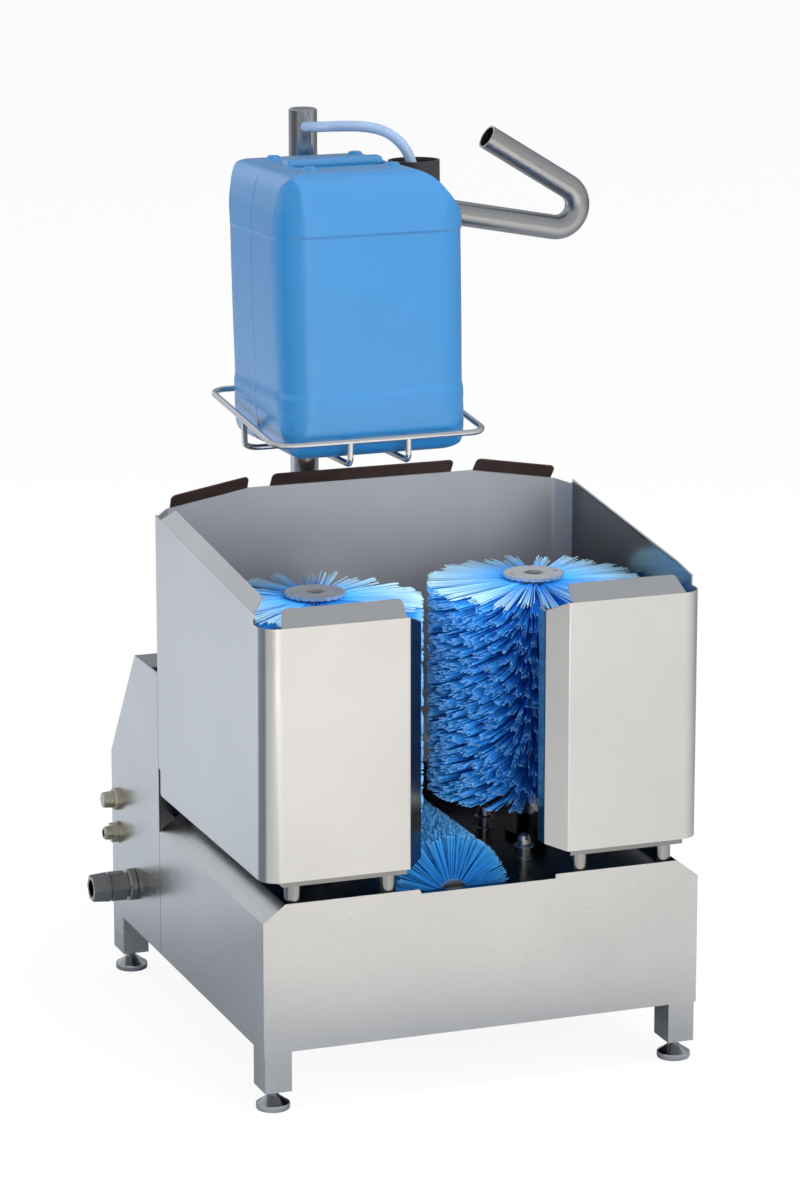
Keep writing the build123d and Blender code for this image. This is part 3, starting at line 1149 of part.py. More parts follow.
def basket():
    """Wire basket: a tilted rail round the jerrycan, floor wires with front uprights, a cross wire."""
    half = CAN_WIDTH / 2 + BASKET_SIDE_GAP + WIRE_RADIUS
    left = HOLDER_SHIFT - half
    right = HOLDER_SHIFT + half
    front = CAN_MIDDLE - CAN_DEPTH / 2 - BASKET_FRONT_GAP - WIRE_RADIUS
    back = -(POST_RADIUS + WIRE_RADIUS + SHAFT_FIT)
    low = CAN_BOTTOM + BASKET_RAIL_LIFT
    slope = math.tan(math.radians(BASKET_RAIL_TILT))
    high = low + slope * (back - front)
    join = BASKET_JOIN_GAP / 2
    body = wire([
        (-join, back, high), (left, back, high), (left, front, low),
        (right, front, low), (right, back, high), (join, back, high),
    ], BASKET_RAIL_CORNER)
    end = floor_wire_end()
    for x in (-BASKET_WIRE_SPACING / 2, BASKET_WIRE_SPACING / 2):
        upright = [(x, front, low), (x, front, wire_floor(front)), (x, end, wire_floor(end))]
        body += wire(upright, BASKET_WIRE_BEND)
    cross = -BASKET_CROSS_SETBACK
    under = wire_floor(cross) - 2 * WIRE_RADIUS + BASKET_WIRE_SINK
    seat = cross - BASKET_CROSS_REACH
    seat_height = low + slope * (seat - front)
    body += wire([
        (left, seat, seat_height), (left + BASKET_CROSS_INSET, cross, under),
        (right - BASKET_CROSS_INSET, cross, under), (right, seat, seat_height),
    ], BASKET_CROSS_BEND)
    return HOLDER * body


def basket_clamp():
    """Collar on the post with a plate that carries the basket's floor wires."""
    middle = wire_floor(floor_wire_end())
    low = middle - CLAMP_HEIGHT / 2
    top = middle + CLAMP_HEIGHT / 2
    half = CLAMP_PLATE_WIDTH / 2
    body = rod((0, 0, low), (0, 0, top), CLAMP_RADIUS)
    body += block(-half, half, -CLAMP_PLATE_FRONT, -POST_RADIUS, low, top)
    return HOLDER * (body - rod((0, 0, low), (0, 0, top), POST_RADIUS + SHAFT_FIT))


def can_body():
    """Rounded block of the jerrycan, drawn in at its foot and top, with a sloping shoulder."""
    half = CAN_WIDTH / 2
    deep = CAN_DEPTH / 2
    foot = half - CAN_FOOT_TAPER
    front = FilletPolyline(
        (-foot, 0, 0), (foot, 0, 0), (half, 0, CAN_FOOT_HEIGHT),
        (half, 0, CAN_HEIGHT - CAN_SHOULDER_HEIGHT), (half - CAN_SHOULDER_WIDTH, 0, CAN_HEIGHT),
        (-half + CAN_TOP_TAPER, 0, CAN_HEIGHT), (-half, 0, CAN_BAND_HIGH), (-half, 0, CAN_FOOT_HEIGHT),
        radius=[
            CAN_FOOT_EDGE, CAN_FOOT_EDGE, 0, CAN_SHOULDER_EDGE, CAN_SHOULDER_EDGE, CAN_TOP_EDGE, 0, 0,
        ],
        close=True,
    )
    foot = deep - CAN_FOOT_TAPER
    top = deep - CAN_TOP_TAPER
    side = FilletPolyline(
        (0, -foot, 0), (0, foot, 0), (0, deep, CAN_FOOT_HEIGHT), (0, deep, CAN_BAND_HIGH),
        (0, top, CAN_HEIGHT), (0, -top, CAN_HEIGHT), (0, -deep, CAN_BAND_HIGH), (0, -deep, CAN_FOOT_HEIGHT),
        radius=[CAN_FOOT_EDGE, CAN_FOOT_EDGE, 0, 0, CAN_TOP_EDGE, CAN_TOP_EDGE, 0, 0],
        close=True,
    )
    body = extrude(RectangleRounded(CAN_WIDTH, CAN_DEPTH, CAN_CORNER), amount=CAN_HEIGHT)
    body = body & extrude(make_face(front), amount=CAN_DEPTH, dir=(0, 1, 0), both=True)
    return body & extrude(make_face(side), amount=CAN_WIDTH, dir=(1, 0, 0), both=True)


def can_band():
    """Rings to cut from the jerrycan for its sunk middle band: a ramp at the lower edge, then straight."""
    around = RectangleRounded(2 * CAN_WIDTH, 2 * CAN_DEPTH, CAN_CORNER)
    sunk = RectangleRounded(
        CAN_WIDTH - 2 * CAN_BAND_DEPTH, CAN_DEPTH - 2 * CAN_BAND_DEPTH, CAN_CORNER - CAN_BAND_DEPTH,
    )
    ramp_angle = math.degrees(math.atan2(CAN_BAND_DEPTH, CAN_BAND_RAMP))
    outline = RectangleRounded(CAN_WIDTH, CAN_DEPTH, CAN_CORNER)
    ramp = extrude(around, amount=CAN_BAND_RAMP) - extrude(outline, amount=CAN_BAND_RAMP, taper=ramp_angle)
    straight = extrude(around - sunk, amount=CAN_BAND_HIGH - CAN_BAND_LOW - CAN_BAND_RAMP)
    return [Pos(0, 0, CAN_BAND_LOW) * ramp, Pos(0, 0, CAN_BAND_LOW + CAN_BAND_RAMP) * straight]


def canister():
    """Blow-moulded jerrycan with a sunk middle band, top handle, stacking nubs and a low neck."""
    body = can_body()
    for ring in can_band():
        body -= ring
    pocket = RectangleRounded(CAN_HANDLE_LENGTH, CAN_POCKET_WIDTH, CAN_POCKET_CORNER)
    pocket_floor = Pos(CAN_HANDLE_MIDDLE, 0, CAN_HEIGHT - CAN_POCKET_DEPTH)
    body -= pocket_floor * extrude(pocket, amount=CAN_HEIGHT)
    bar = Box(CAN_HANDLE_LENGTH + 2 * CAN_HANDLE_ROOT, CAN_HANDLE_WIDTH, CAN_HANDLE_THICKNESS)
    bar = fillet(bar.edges().filter_by(Axis.X), CAN_HANDLE_EDGE)
    bar_height = CAN_HEIGHT + CAN_HANDLE_PROUD - CAN_HANDLE_THICKNESS / 2
    body += Pos(CAN_HANDLE_MIDDLE, 0, bar_height) * bar
    for x in (CAN_HANDLE_MIDDLE - CAN_NUB_X, CAN_HANDLE_MIDDLE + CAN_NUB_X):
        for y in (-CAN_NUB_Y, CAN_NUB_Y):
            root = CAN_HEIGHT - CAN_NUB_HEIGHT
            body += rod((x, y, root), (x, y, root + 2 * CAN_NUB_HEIGHT), CAN_NUB_RADIUS)
    shelf = CAN_HEIGHT - NECK_SHELF_DEPTH
    shelf_length = CAN_WIDTH
    notch = extrude(RectangleRounded(shelf_length, NECK_SHELF_WIDTH, NECK_SHELF_CORNER), amount=CAN_HEIGHT)
    body -= Pos(NECK_SHELF_LEFT + shelf_length / 2, 0, shelf) * notch
    body += rod((NECK_X, 0, shelf - CAP_DISC), (NECK_X, 0, shelf + NECK_HEIGHT), NECK_RADIUS)
    return CAN_PLACE * body


def canister_cap():
    """Screw cap with a deep cup round the hose."""
    top = CAP_DISC_BOTTOM + CAP_DISC + CAP_CUP
    body = rod((0, 0, CAP_DISC_BOTTOM - CAP_SKIRT), (0, 0, top), CAP_RADIUS)
    body -= rod((0, 0, CAP_DISC_BOTTOM + CAP_DISC), (0, 0, top), CAP_RADIUS - CAP_WALL)
    body -= rod((0, 0, 0), (0, 0, CAP_DISC_BOTTOM), NECK_RADIUS + CAP_FIT)
    cap = CAN_PLACE * Pos(NECK_X, 0, 0) * body
    before, end = hose_route()[-2:]
    return cap - rod(before, end, HOSE_RADIUS + HOSE_FIT)


def hose():
    """Cleaner hose between the post and the jerrycan's cap."""
    route = hose_route()
    points = [Vector(*point) for point in route]
    runs = [(after - before) for before, after in zip(points, points[1:])]
    radii = []
    for before, after in zip(runs, runs[1:]):
        half_turn = math.radians(before.get_angle(after)) / 2
        radii.append(0.45 * min(before.length, after.length) / math.tan(half_turn))
    print("hose bend radii:", [round(radius, 1) for radius in radii])
    print("hose points:", [tuple(round(value, 1) for value in point) for point in route])
    path = FilletPolyline(*route, radius=radii)
    start = Plane(origin=path @ 0, z_dir=path % 0)
    body = sweep(start * Circle(HOSE_RADIUS), path=path)
    print("hose length:", round(path.length, 1))
    return body


def collect():
    """Every sub-part by node name."""
    nodes = {
        "base_casing": base_casing(),
        "deck_plate": deck_plate(),
        "sole_trough": sole_trough(),
        "drain_spigot": drain_spigot(),
        "bulkhead": bulkhead(),
        "housing_floor": housing_floor(),
        "rear_housing": rear_housing(),
        "legs": [leg(side, front) for side in (-1, 1) for front in (True, False)],
        "deck_bearings": [deck_bearing(side) for side in (-1, 1)],
        "gearboxes": [gearbox(side) for side in (-1, 1)],
        "guard_left": guard_side(-1),
        "guard_right": guard_side(1),
        "guard_back": guard_back(),
        "guard_standoffs": guard_standoffs(),
        "sole_brush": sole_brush(),
        "sole_shaft": sole_shaft(),
        "sole_front_bush": sole_front_bush(),
        "sole_rear_seal": sole_rear_seal(),
        "sole_pulley": pulley(SOLE_X, SOLE_Z, BIG_PULLEY_TEETH, BIG_PULLEY_RADIUS, SOLE_SHAFT_RADIUS),
        "bulkhead_bearings": bulkhead_bearings(),
        "drive_belt": drive_belt(),
        "motor": motor(),
        "motor_plate": motor_plate(),
        "motor_pulley": motor_pulley(),
        "water_inlet": water_inlet(),
        "solenoid_valve": solenoid_valve(),
        "supply_pipe": supply_pipe(),
        "spray_nozzles": spray_nozzles(),
        "dosing_injector": dosing_injector(),
        "dosing_tube": dosing_tube(),
        "control_box": control_box(),
        "button_bezel": button_bezel(),
        "push_button": push_button(),
        "switch_block": switch_block(),
        "cable_gland": cable_gland(),
        "post": post(),
        "post_cap": post_cap(),
        "post_flange": post_flange(),
        "screws": post_screws() + housing_screws(),
        "handrail": handrail(),
        "basket": basket(),
        "basket_clamp": basket_clamp(),
        "canister": canister(),
        "canister_cap": canister_cap(),
        "hose": hose(),
    }
    for name, side in (("left", -1), ("right", 1)):
        nodes[f"{name}_brush"] = boot_brush(side)
        nodes[f"{name}_brush_disc"] = boot_brush_disc(side)
        nodes[f"{name}_brush_shaft"] = boot_brush_shaft(side)
        nodes[f"{name}_lay_shaft"] = lay_shaft(side)
        nodes[f"{name}_lay_pulley"] = pulley(
            side * BRUSH_X, INPUT_Z, BIG_PULLEY_TEETH, BIG_PULLEY_RADIUS, LAY_SHAFT_RADIUS,
        )
        for end, front in (("front", True), ("rear", False)):
            nodes[f"{end}_{name}_foot"] = foot(side, front)
    return nodes


def main():
    """Write one STEP file per node."""
    os.makedirs("parts", exist_ok=True)
    for name, shape in collect().items():
        solids = shape if isinstance(shape, list) else [shape]
        pieces = [solid for piece in solids for solid in piece.solids()]
        export_step(Compound(children=pieces), f"parts/{name}.step")


main()
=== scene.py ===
import json
import math

import bmesh
import bpy
import numpy as np
from mathutils import Euler, Matrix, Vector


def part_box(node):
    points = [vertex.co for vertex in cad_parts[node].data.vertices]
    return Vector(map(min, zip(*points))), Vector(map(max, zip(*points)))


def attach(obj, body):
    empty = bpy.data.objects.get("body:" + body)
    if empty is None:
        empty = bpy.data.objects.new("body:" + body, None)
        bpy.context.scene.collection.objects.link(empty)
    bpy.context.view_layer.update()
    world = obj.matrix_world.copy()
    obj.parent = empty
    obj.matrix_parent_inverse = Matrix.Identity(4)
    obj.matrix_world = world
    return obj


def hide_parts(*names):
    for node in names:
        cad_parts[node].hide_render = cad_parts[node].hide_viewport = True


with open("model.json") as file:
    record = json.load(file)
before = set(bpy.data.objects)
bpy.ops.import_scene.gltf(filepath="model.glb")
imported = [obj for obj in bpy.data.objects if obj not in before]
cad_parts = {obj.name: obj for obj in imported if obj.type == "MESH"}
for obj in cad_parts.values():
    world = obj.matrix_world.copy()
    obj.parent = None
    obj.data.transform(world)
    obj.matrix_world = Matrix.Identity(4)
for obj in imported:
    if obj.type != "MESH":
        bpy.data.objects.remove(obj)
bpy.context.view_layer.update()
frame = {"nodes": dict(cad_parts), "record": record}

# Camera, at the photograph's viewing angle
CAMERA_PLACE = (-2.0225, -5.4258, 1.9971)
CAMERA_TARGET = (-0.0345, -0.110, 0.6049)
CAMERA_LENS = 134.1
SENSOR_WIDTH = 36.0

# Lamps: place, size, power and colour
LAMPS = {
    "key": ((5.0, -7.7, 6.6), 5.0, 480.0, (1.0, 0.96, 0.91)),
    "fill": ((0.7, -6.2, 2.2), 2.5, 180.0, (1.0, 0.99, 0.97)),
    "low": ((-0.75, -2.9, 0.5), 0.7, 23.0, (1.0, 1.0, 1.0)),
    "rim": ((-4.6, 2.0, 1.25), 2.0, 200.0, (0.97, 0.985, 1.0)),
    "top": ((0.5, -0.9, 3.6), 1.6, 55.0, (0.98, 0.99, 1.0)),
}

# Floor: plain to the camera; reflections see painted light and shade round the compass, in degrees from +X,
# and a painted shadow close by
FLOOR_HALF = 40.0
FLOOR_PLAIN = (0.93, 0.93, 0.93)
FLOOR_PAINTED_LIGHT_AND_SHADE = (
    (-180, (0.17, 0.185, 0.21)),
    (-164, (0.19, 0.20, 0.22)),
    (-155, (0.58, 0.57, 0.56)),
    (-105, (0.60, 0.59, 0.58)),
    (-97, (0.79, 0.76, 0.725)),
    (-72, (0.79, 0.76, 0.725)),
    (-64, (0.71, 0.695, 0.675)),
    (-42, (0.72, 0.71, 0.69)),
    (-20, (0.64, 0.64, 0.65)),
    (0, (0.46, 0.47, 0.49)),
    (25, (0.34, 0.35, 0.37)),
    (85, (0.38, 0.40, 0.43)),
    (100, (0.66, 0.69, 0.74)),
    (138, (0.66, 0.69, 0.74)),
    (144, (0.46, 0.48, 0.52)),
    (150, (0.19, 0.205, 0.23)),
)
# Painted shadow on the floor near the object, seen in reflections only, and the distances over which it
# fades out
FLOOR_PAINTED_SHADOW = (0.44, 0.465, 0.505)
FLOOR_NEAR_START = 0.55
FLOOR_NEAR_END = 0.8
FLOOR_GLOW = 0.9

# Surround: tones round the compass, and the tone above, by the height of the line of sight
WORLD_TONES = (
    (-180, (0.76, 0.79, 0.83)),
    (-150, (0.66, 0.67, 0.68)),
    (-97, (0.78, 0.765, 0.74)),
    (-42, (0.80, 0.785, 0.76)),
    (0, (0.58, 0.59, 0.61)),
    (30, (0.32, 0.34, 0.37)),
    (84, (0.28, 0.30, 0.34)),
    (97, (0.92, 0.95, 1.0)),
    (109, (0.92, 0.95, 1.0)),
    (119, (0.52, 0.55, 0.59)),
    (145, (0.74, 0.77, 0.81)),
)
WORLD_ABOVE = (0.60, 0.63, 0.67)
WORLD_ABOVE_START = 0.36
WORLD_ABOVE_END = 0.62

# Ramps: half a turn in degrees, and where a new stop is put first
HALF_TURN = 180.0
RAMP_MIDDLE = 0.5

# Noise: the span that most of its values lie in, and the detail of clouds and of grain
NOISE_LOW = 0.3
NOISE_HIGH = 0.7
CLOUD_DETAIL = 3.0
GRAIN_DETAIL = 4.0

# Metal: how fine the grain is along each axis
GRAIN_ACROSS = (30.0, 30.0, 1100.0)
GRAIN_UPRIGHT = (1100.0, 1100.0, 30.0)
GRAIN_LENGTHWISE = (600.0, 9.0, 600.0)
GRAIN_FINE = (500.0, 500.0, 500.0)
GRAIN_CAST = (260.0, 260.0, 260.0)
GRAIN_SMOOTH = (60.0, 60.0, 60.0)
METAL_CLOUD = (7.0, 7.0, 7.0)
METAL_TONES = (0.965, 1.025)
METAL_RELIEF_DEPTH = 0.0002
CASING_RELIEF = 0.009
BRUSHED_RELIEF = 0.007
POLISHED_RELIEF = 0.001
SHEET_COLOUR = (0.53, 0.53, 0.525)

# Metal finishes: colour, grain, least and most roughness, strength of the relief
METALS = {
    "steel": ((0.62, 0.62, 0.61), GRAIN_FINE, 0.28, 0.40, BRUSHED_RELIEF),
    # deck_steel: its near-black colour is painted shade under the brushes and guards
    "deck_steel": ((0.045, 0.045, 0.048), GRAIN_LENGTHWISE, 0.16, 0.26, BRUSHED_RELIEF),
    "aluminium": ((0.70, 0.70, 0.71), GRAIN_CAST, 0.45, 0.6, BRUSHED_RELIEF),
    "brass": ((0.52, 0.48, 0.38), GRAIN_FINE, 0.30, 0.42, BRUSHED_RELIEF),
    "base_steel": ((0.52, 0.52, 0.515), GRAIN_ACROSS, 0.23, 0.28, CASING_RELIEF),
    "guard_left_steel": (SHEET_COLOUR, GRAIN_UPRIGHT, 0.16, 0.21, BRUSHED_RELIEF),
    "guard_right_steel": (SHEET_COLOUR, GRAIN_UPRIGHT, 0.16, 0.21, BRUSHED_RELIEF),
    "back_steel": ((0.61, 0.61, 0.615), GRAIN_UPRIGHT, 0.44, 0.50, BRUSHED_RELIEF),
    "tube_steel": ((0.42, 0.425, 0.43), GRAIN_SMOOTH, 0.17, 0.20, POLISHED_RELIEF),
    "rail_steel": ((0.37, 0.375, 0.38), GRAIN_SMOOTH, 0.28, 0.29, POLISHED_RELIEF),
    "bright_steel": ((0.62, 0.625, 0.63), GRAIN_FINE, 0.16, 0.22, POLISHED_RELIEF),
    "disc_steel": ((0.92, 0.92, 0.92), GRAIN_FINE, 0.48, 0.56, BRUSHED_RELIEF),
    "fitting_steel": ((0.25, 0.25, 0.24), GRAIN_FINE, 0.14, 0.20, BRUSHED_RELIEF),
    # Steel of the standoffs and bulkhead: its dark colour is painted shade
    "standoff_steel_painted_shade": ((0.30, 0.30, 0.295), GRAIN_UPRIGHT, 0.18, 0.24, BRUSHED_RELIEF),
    "foot_steel": ((0.46, 0.47, 0.48), GRAIN_FINE, 0.16, 0.22, POLISHED_RELIEF),
}

# Seam between the casing and the housing, as a share of the casing's tone
SEAM_Y = 0.1072
SEAM_HALF = 0.001
SEAM_SHADE = 0.25

# Guard halves: painted shade on their inside faces: the way that these faces look, and how squarely before
# the shade starts and is full
PAINTED_INSIDE_SHADE = {
    "guard_left_steel": ((1.0, 0.0, 0.0), 0.5, 0.65),
    "guard_right_steel": ((-1.0, 0.0, 0.0), 0.85, 0.95),
}
# Painted shade: share of tone on the inside faces, and on the sill below the guard's bottom edge
INSIDE_SHADE = 0.5
SILL_TOP = 0.3088
SILL_SHADE = 0.42

# Guard's back wall: the top edge that its tabs stand on, the painted dark reflection on them (brown, not
# metal), and the wall's share of metal
TAB_MIDDLE_TOP = 0.7155
TAB_END_TOP = 0.6975
TAB_KINK = 0.160
TAB_END = 0.279
TAB_PAINTED_REFLECTION = (0.045, 0.026, 0.022)
TAB_CLOUD = (30.0, 30.0, 90.0)
TAB_TONES = (0.75, 1.25)
BACK_METALLIC = 0.78

# Plastic, rubber and paint: colour, roughness, strength of the relief, weight of the waxy coat
SKINS = {
    "cast_iron": ((0.10, 0.10, 0.11), 0.55, 0.4, 0.0),
    "seal_rubber": ((0.02, 0.02, 0.021), 0.6, 0.15, 0.0),
    "belt_rubber": ((0.025, 0.025, 0.025), 0.65, 0.2, 0.0),
    "painted_metal": ((0.13, 0.16, 0.20), 0.45, 0.2, 0.0),
    "white_plastic": ((0.80, 0.80, 0.78), 0.45, 0.1, 0.0),
    "black_plastic": ((0.018, 0.018, 0.02), 0.42, 0.12, 0.0),
    "blue_plastic": ((0.013, 0.150, 0.365), 0.34, 0.02, 0.7),
}
SKIN_CLOUD = (9.0, 9.0, 9.0)
SKIN_TONES = (0.97, 1.02)
SKIN_GRAIN = (180.0, 180.0, 180.0)
SKIN_DETAIL = 3.0
SKIN_GLOSS_SPREAD = 0.05
SKIN_RELIEF_DEPTH = 0.0003
COAT_ROUGHNESS = 0.22

# Nodes that have a finish of their own; the others have their slot's
FOOT_NODES = ("front_left_foot", "front_right_foot", "rear_left_foot", "rear_right_foot")
FINISH_NODES = {
    "base_steel": ("base_casing", "rear_housing", "legs"),
    "guard_left_steel": ("guard_left",),
    "guard_right_steel": ("guard_right",),
    "back_steel": ("guard_back",),
    "tube_steel": ("post", "post_cap"),
    "rail_steel": ("handrail",),
    "bright_steel": ("basket",),
    "standoff_steel_painted_shade": ("guard_standoffs", "bulkhead"),
    "fitting_steel": ("water_inlet",),
    "disc_steel": ("left_brush_disc", "right_brush_disc"),
    "brass": ("button_bezel", "push_button"),
    "foot_steel": FOOT_NODES,
}

# Place of a piece that is made where it belongs
IN_PLACE = Matrix.Identity(4)

# Cleaner hose: the route's points, from the post to the cap, and its milky plastic
HOSE_DIAMETER = 0.014
HOSE_POINTS = (
    (-0.0695, 0.1576, 1.1932),
    (-0.0632, 0.1273, 1.1967),
    (-0.0463, 0.0930, 1.2012),
    (-0.0199, 0.0654, 1.2037),
    (0.0059, 0.0443, 1.1982),
    (0.0260, 0.0305, 1.1782),
    (0.0360, 0.0265, 1.1502),
    (0.0360, 0.0259, 1.1298),
)
HOSE_ORDER = 3
HOSE_ROUND_STEPS = 6
HOSE_LENGTH_STEPS = 12
HOSE_COLOUR = (0.32, 0.44, 0.63)
HOSE_CLOUD = (40.0, 40.0, 40.0)
HOSE_DETAIL = 2.0
HOSE_TONES = (0.95, 1.04)
HOSE_SURFACE = {"Roughness": 0.22, "Transmission Weight": 0.35, "IOR": 1.4}

# Bristles: their colour from root to tip with a painted highlight on the tip, the spread of tone from
# strand to strand, and painted light on the end row
BRISTLE_TONES_AND_TIP_HIGHLIGHT = (
    (0.0, (0.02, 0.25, 0.85)),
    (0.5, (0.03, 0.31, 0.94)),
    (0.87, (0.05, 0.39, 0.95)),
    (1.0, (0.46, 0.72, 0.84)),
)
BRISTLE_SHEEN = 0.06
UPRIGHT_TONE = (0.84, 1.08)
SOLE_TONE = (0.44, 0.60)
STRAND_TONE_SHARE = 0.6
TUFT_TONE_SHARE = 0.4
# Painted light on the end row, and how much of the tip's painted highlight the other rows reach
END_ROW_PAINTED_LIGHT = 0.85
SIDE_TIP_HIGHLIGHT_SHARE = 0.92

# Bristles: the form of a strand, which spreads and droops more towards its tip
BRISTLE_SEED = 11
STRAND_RADIUS = 0.00062
STRAND_SIDES = 3
STRAND_STEPS = (0.0, 0.5, 1.0)
ROOT_HALF_WIDTH = 0.0042
ROOT_HALF_HEIGHT = 0.003
ROOT_SINK = 0.003
ROW_CLIMB = 0.12
ROW_STAGGER = 0.5
TIP_RAGGED = 0.035
DROOP_LEAST = 0.5
SPREAD_CURVE = 1.3
DROOP_CURVE = 1.5

# Brushes: radius of the core, counts of rows, tufts and strands, and how a tuft's tips spread
UPRIGHT_FORM = {
    "core": 0.028,
    "rows": 24,
    "tufts": 24,
    "strands": 20,
    "tip_half_width": 0.0115,
    "tip_half_height": 0.0042,
    "droop": 0.004,
    "lean": 0.004,
}
SOLE_FORM = {
    "core": 0.022,
    "rows": 34,
    "tufts": 20,
    "strands": 12,
    "tip_half_width": 0.0095,
    "tip_half_height": 0.0045,
    "droop": 0.0,
    "lean": 0.0015,
}
UPRIGHT_BORE = 0.01255
SOLE_BORE = 0.01005
COLLAR_RADIUS = 0.016
CORE_SIDES = 48
CORE_CHAMFER = 0.0012
SHARP_ANGLE = 35.0

# Levelling feet
FOOT_HEIGHT = 0.018
FOOT_RIM_SHARE = 0.4
FOOT_STEM_RADIUS = 0.006
FOOT_SHOULDER = 0.003
FOOT_EDGE = 0.002
FOOT_EDGE_CUT = 0.3
FOOT_SIDES = 40
THREAD_PITCH = 0.0025
THREAD_DEPTH = 0.0009
THREAD_STEP = 0.0005

# Jerrycan: the place and lean of its own frame, its sizes, and the softening of its edges
CAN_ORIGIN = (-0.062, 0.01466, 0.792)
CAN_LEAN = 1.9
CAN_HALF_WIDTH = 0.1315
CAN_HALF_DEPTH = 0.125
CAN_BAND_LOW = 0.0805
CAN_BAND_HIGH = 0.291
CAN_WELD = 1e-6
CAN_VOXEL = 0.002
CAN_SMOOTHING = 8
CAN_SMOOTH_SHARE = 0.5

# Jerrycan's skin: parting seam on the ends, groove at the band's top, fainter line below it, full walls
CAN_SEAM_PROUD = 0.0008
CAN_SEAM_WIDTH = 0.0016
CAN_END_SHARE = 0.8
CAN_GROOVE_DEPTH = 0.0013
CAN_GROOVE_WIDTH = 0.0018
CAN_LINE_HEIGHT = 0.064
CAN_LINE_SHARE = 0.4
CAN_BULGE = 0.0012

# Jerrycan's left side: how far it draws in over the band, at the neck and towards the bottom
CAN_STEP = 0.002
CAN_STEP_REACH = 0.035
CAN_STEP_SOFT = 0.0014
CAN_NECK_START = 0.300
CAN_NECK_TOP = 0.362
CAN_NECK_IN = 0.007
CAN_NECK_CURVE = 1.5
CAN_TAPER = 0.005


def link(thing):
    """Puts an object into the scene."""
    bpy.context.scene.collection.objects.link(thing)
    return thing


def aim(thing, target):
    """Turns a camera or lamp towards a point."""
    line = Vector(target) - Vector(thing.location)
    thing.rotation_euler = line.to_track_quat("-Z", "Y").to_euler()


def add_camera():
    """Camera at the photograph's viewing angle."""
    data = bpy.data.cameras.new("camera")
    data.lens = CAMERA_LENS
    data.sensor_width = SENSOR_WIDTH
    camera = link(bpy.data.objects.new("camera", data))
    camera.location = CAMERA_PLACE
    aim(camera, CAMERA_TARGET)
    bpy.context.scene.camera = camera


def add_lamp(name, place, size, power, colour):
    """Soft square lamp that points at the object's middle and leaves no glare on the metal."""
    data = bpy.data.lights.new(name, "AREA")
    data.energy = power
    data.size = size
    data.color = colour
    lamp = link(bpy.data.objects.new(name, data))
    lamp.location = place
    lamp.visible_glossy = False
    aim(lamp, CAMERA_TARGET)


def opaque(colour):
    """Colour with full alpha, as sockets take it."""
    return (*colour, 1.0)


def add_node(tree, kind, inputs=None, **settings):
    """New shader node with its settings; each input is a value or another node's output."""
    made = tree.nodes.new("ShaderNode" + kind)
    for key, value in settings.items():
        setattr(made, key, value)
    for key, source in (inputs or {}).items():
        if isinstance(source, bpy.types.NodeSocket):
            tree.links.new(source, made.inputs[key])
        else:
            made.inputs[key].default_value = source
    return made


def add_math(tree, operation, *sources):
    """Result of one operation on values and outputs."""
    return add_node(tree, "Math", dict(enumerate(sources)), operation=operation).outputs[0]


def add_range(tree, source, start, end, low=0.0, high=1.0):
    """Spreads a value from start to end over low to high, and holds it at both."""
    inputs = {"Value": source, "From Min": start, "From Max": end, "To Min": low, "To Max": high}
    return add_node(tree, "MapRange", inputs).outputs["Result"]


def add_mix(tree, share, first, second):
    """Colour that goes from the first to the second with a share."""
    mix = add_node(tree, "Mix", {"Factor": share, "A": first, "B": second}, data_type="RGBA")
    return mix.outputs["Result"]


def add_ramp(tree, source, stops):
    """Colour ramp over a value, from (place, colour) stops."""
    ramp = add_node(tree, "ValToRGB", {"Fac": source})
    elements = ramp.color_ramp.elements
    while len(elements) < len(stops):
        elements.new(RAMP_MIDDLE)
    for element, (place, colour) in zip(elements, stops):
        element.position = place
        element.color = opaque(colour)
    return ramp.outputs["Color"]


def add_turn(tree, source, tones):
    """Colour that changes round the compass, from (angle in degrees, colour) stops."""
    turn = add_node(tree, "TexGradient", {"Vector": source}, gradient_type="RADIAL")
    stops = [((angle + HALF_TURN) / (2 * HALF_TURN), colour) for angle, colour in tones]
    return add_ramp(tree, turn.outputs["Fac"], stops)


def split_place(tree):
    """X, Y and Z of the object's own coordinates."""
    place = add_node(tree, "TexCoord").outputs["Object"]
    return add_node(tree, "SeparateXYZ", {0: place}).outputs


def add_world():
    """Soft surround, bright in front, on the left and in a band behind, dimmer on the right and above."""
    world = bpy.data.worlds.new("world")
    bpy.context.scene.world = world
    world.use_nodes = True
    tree = world.node_tree
    way = add_node(tree, "TexCoord").outputs["Generated"]
    height = add_node(tree, "SeparateXYZ", {0: way}).outputs["Z"]
    above = add_range(tree, height, WORLD_ABOVE_START, WORLD_ABOVE_END)
    colour = add_mix(tree, above, add_turn(tree, way, WORLD_TONES), opaque(WORLD_ABOVE))
    tree.links.new(colour, tree.nodes["Background"].inputs["Color"])


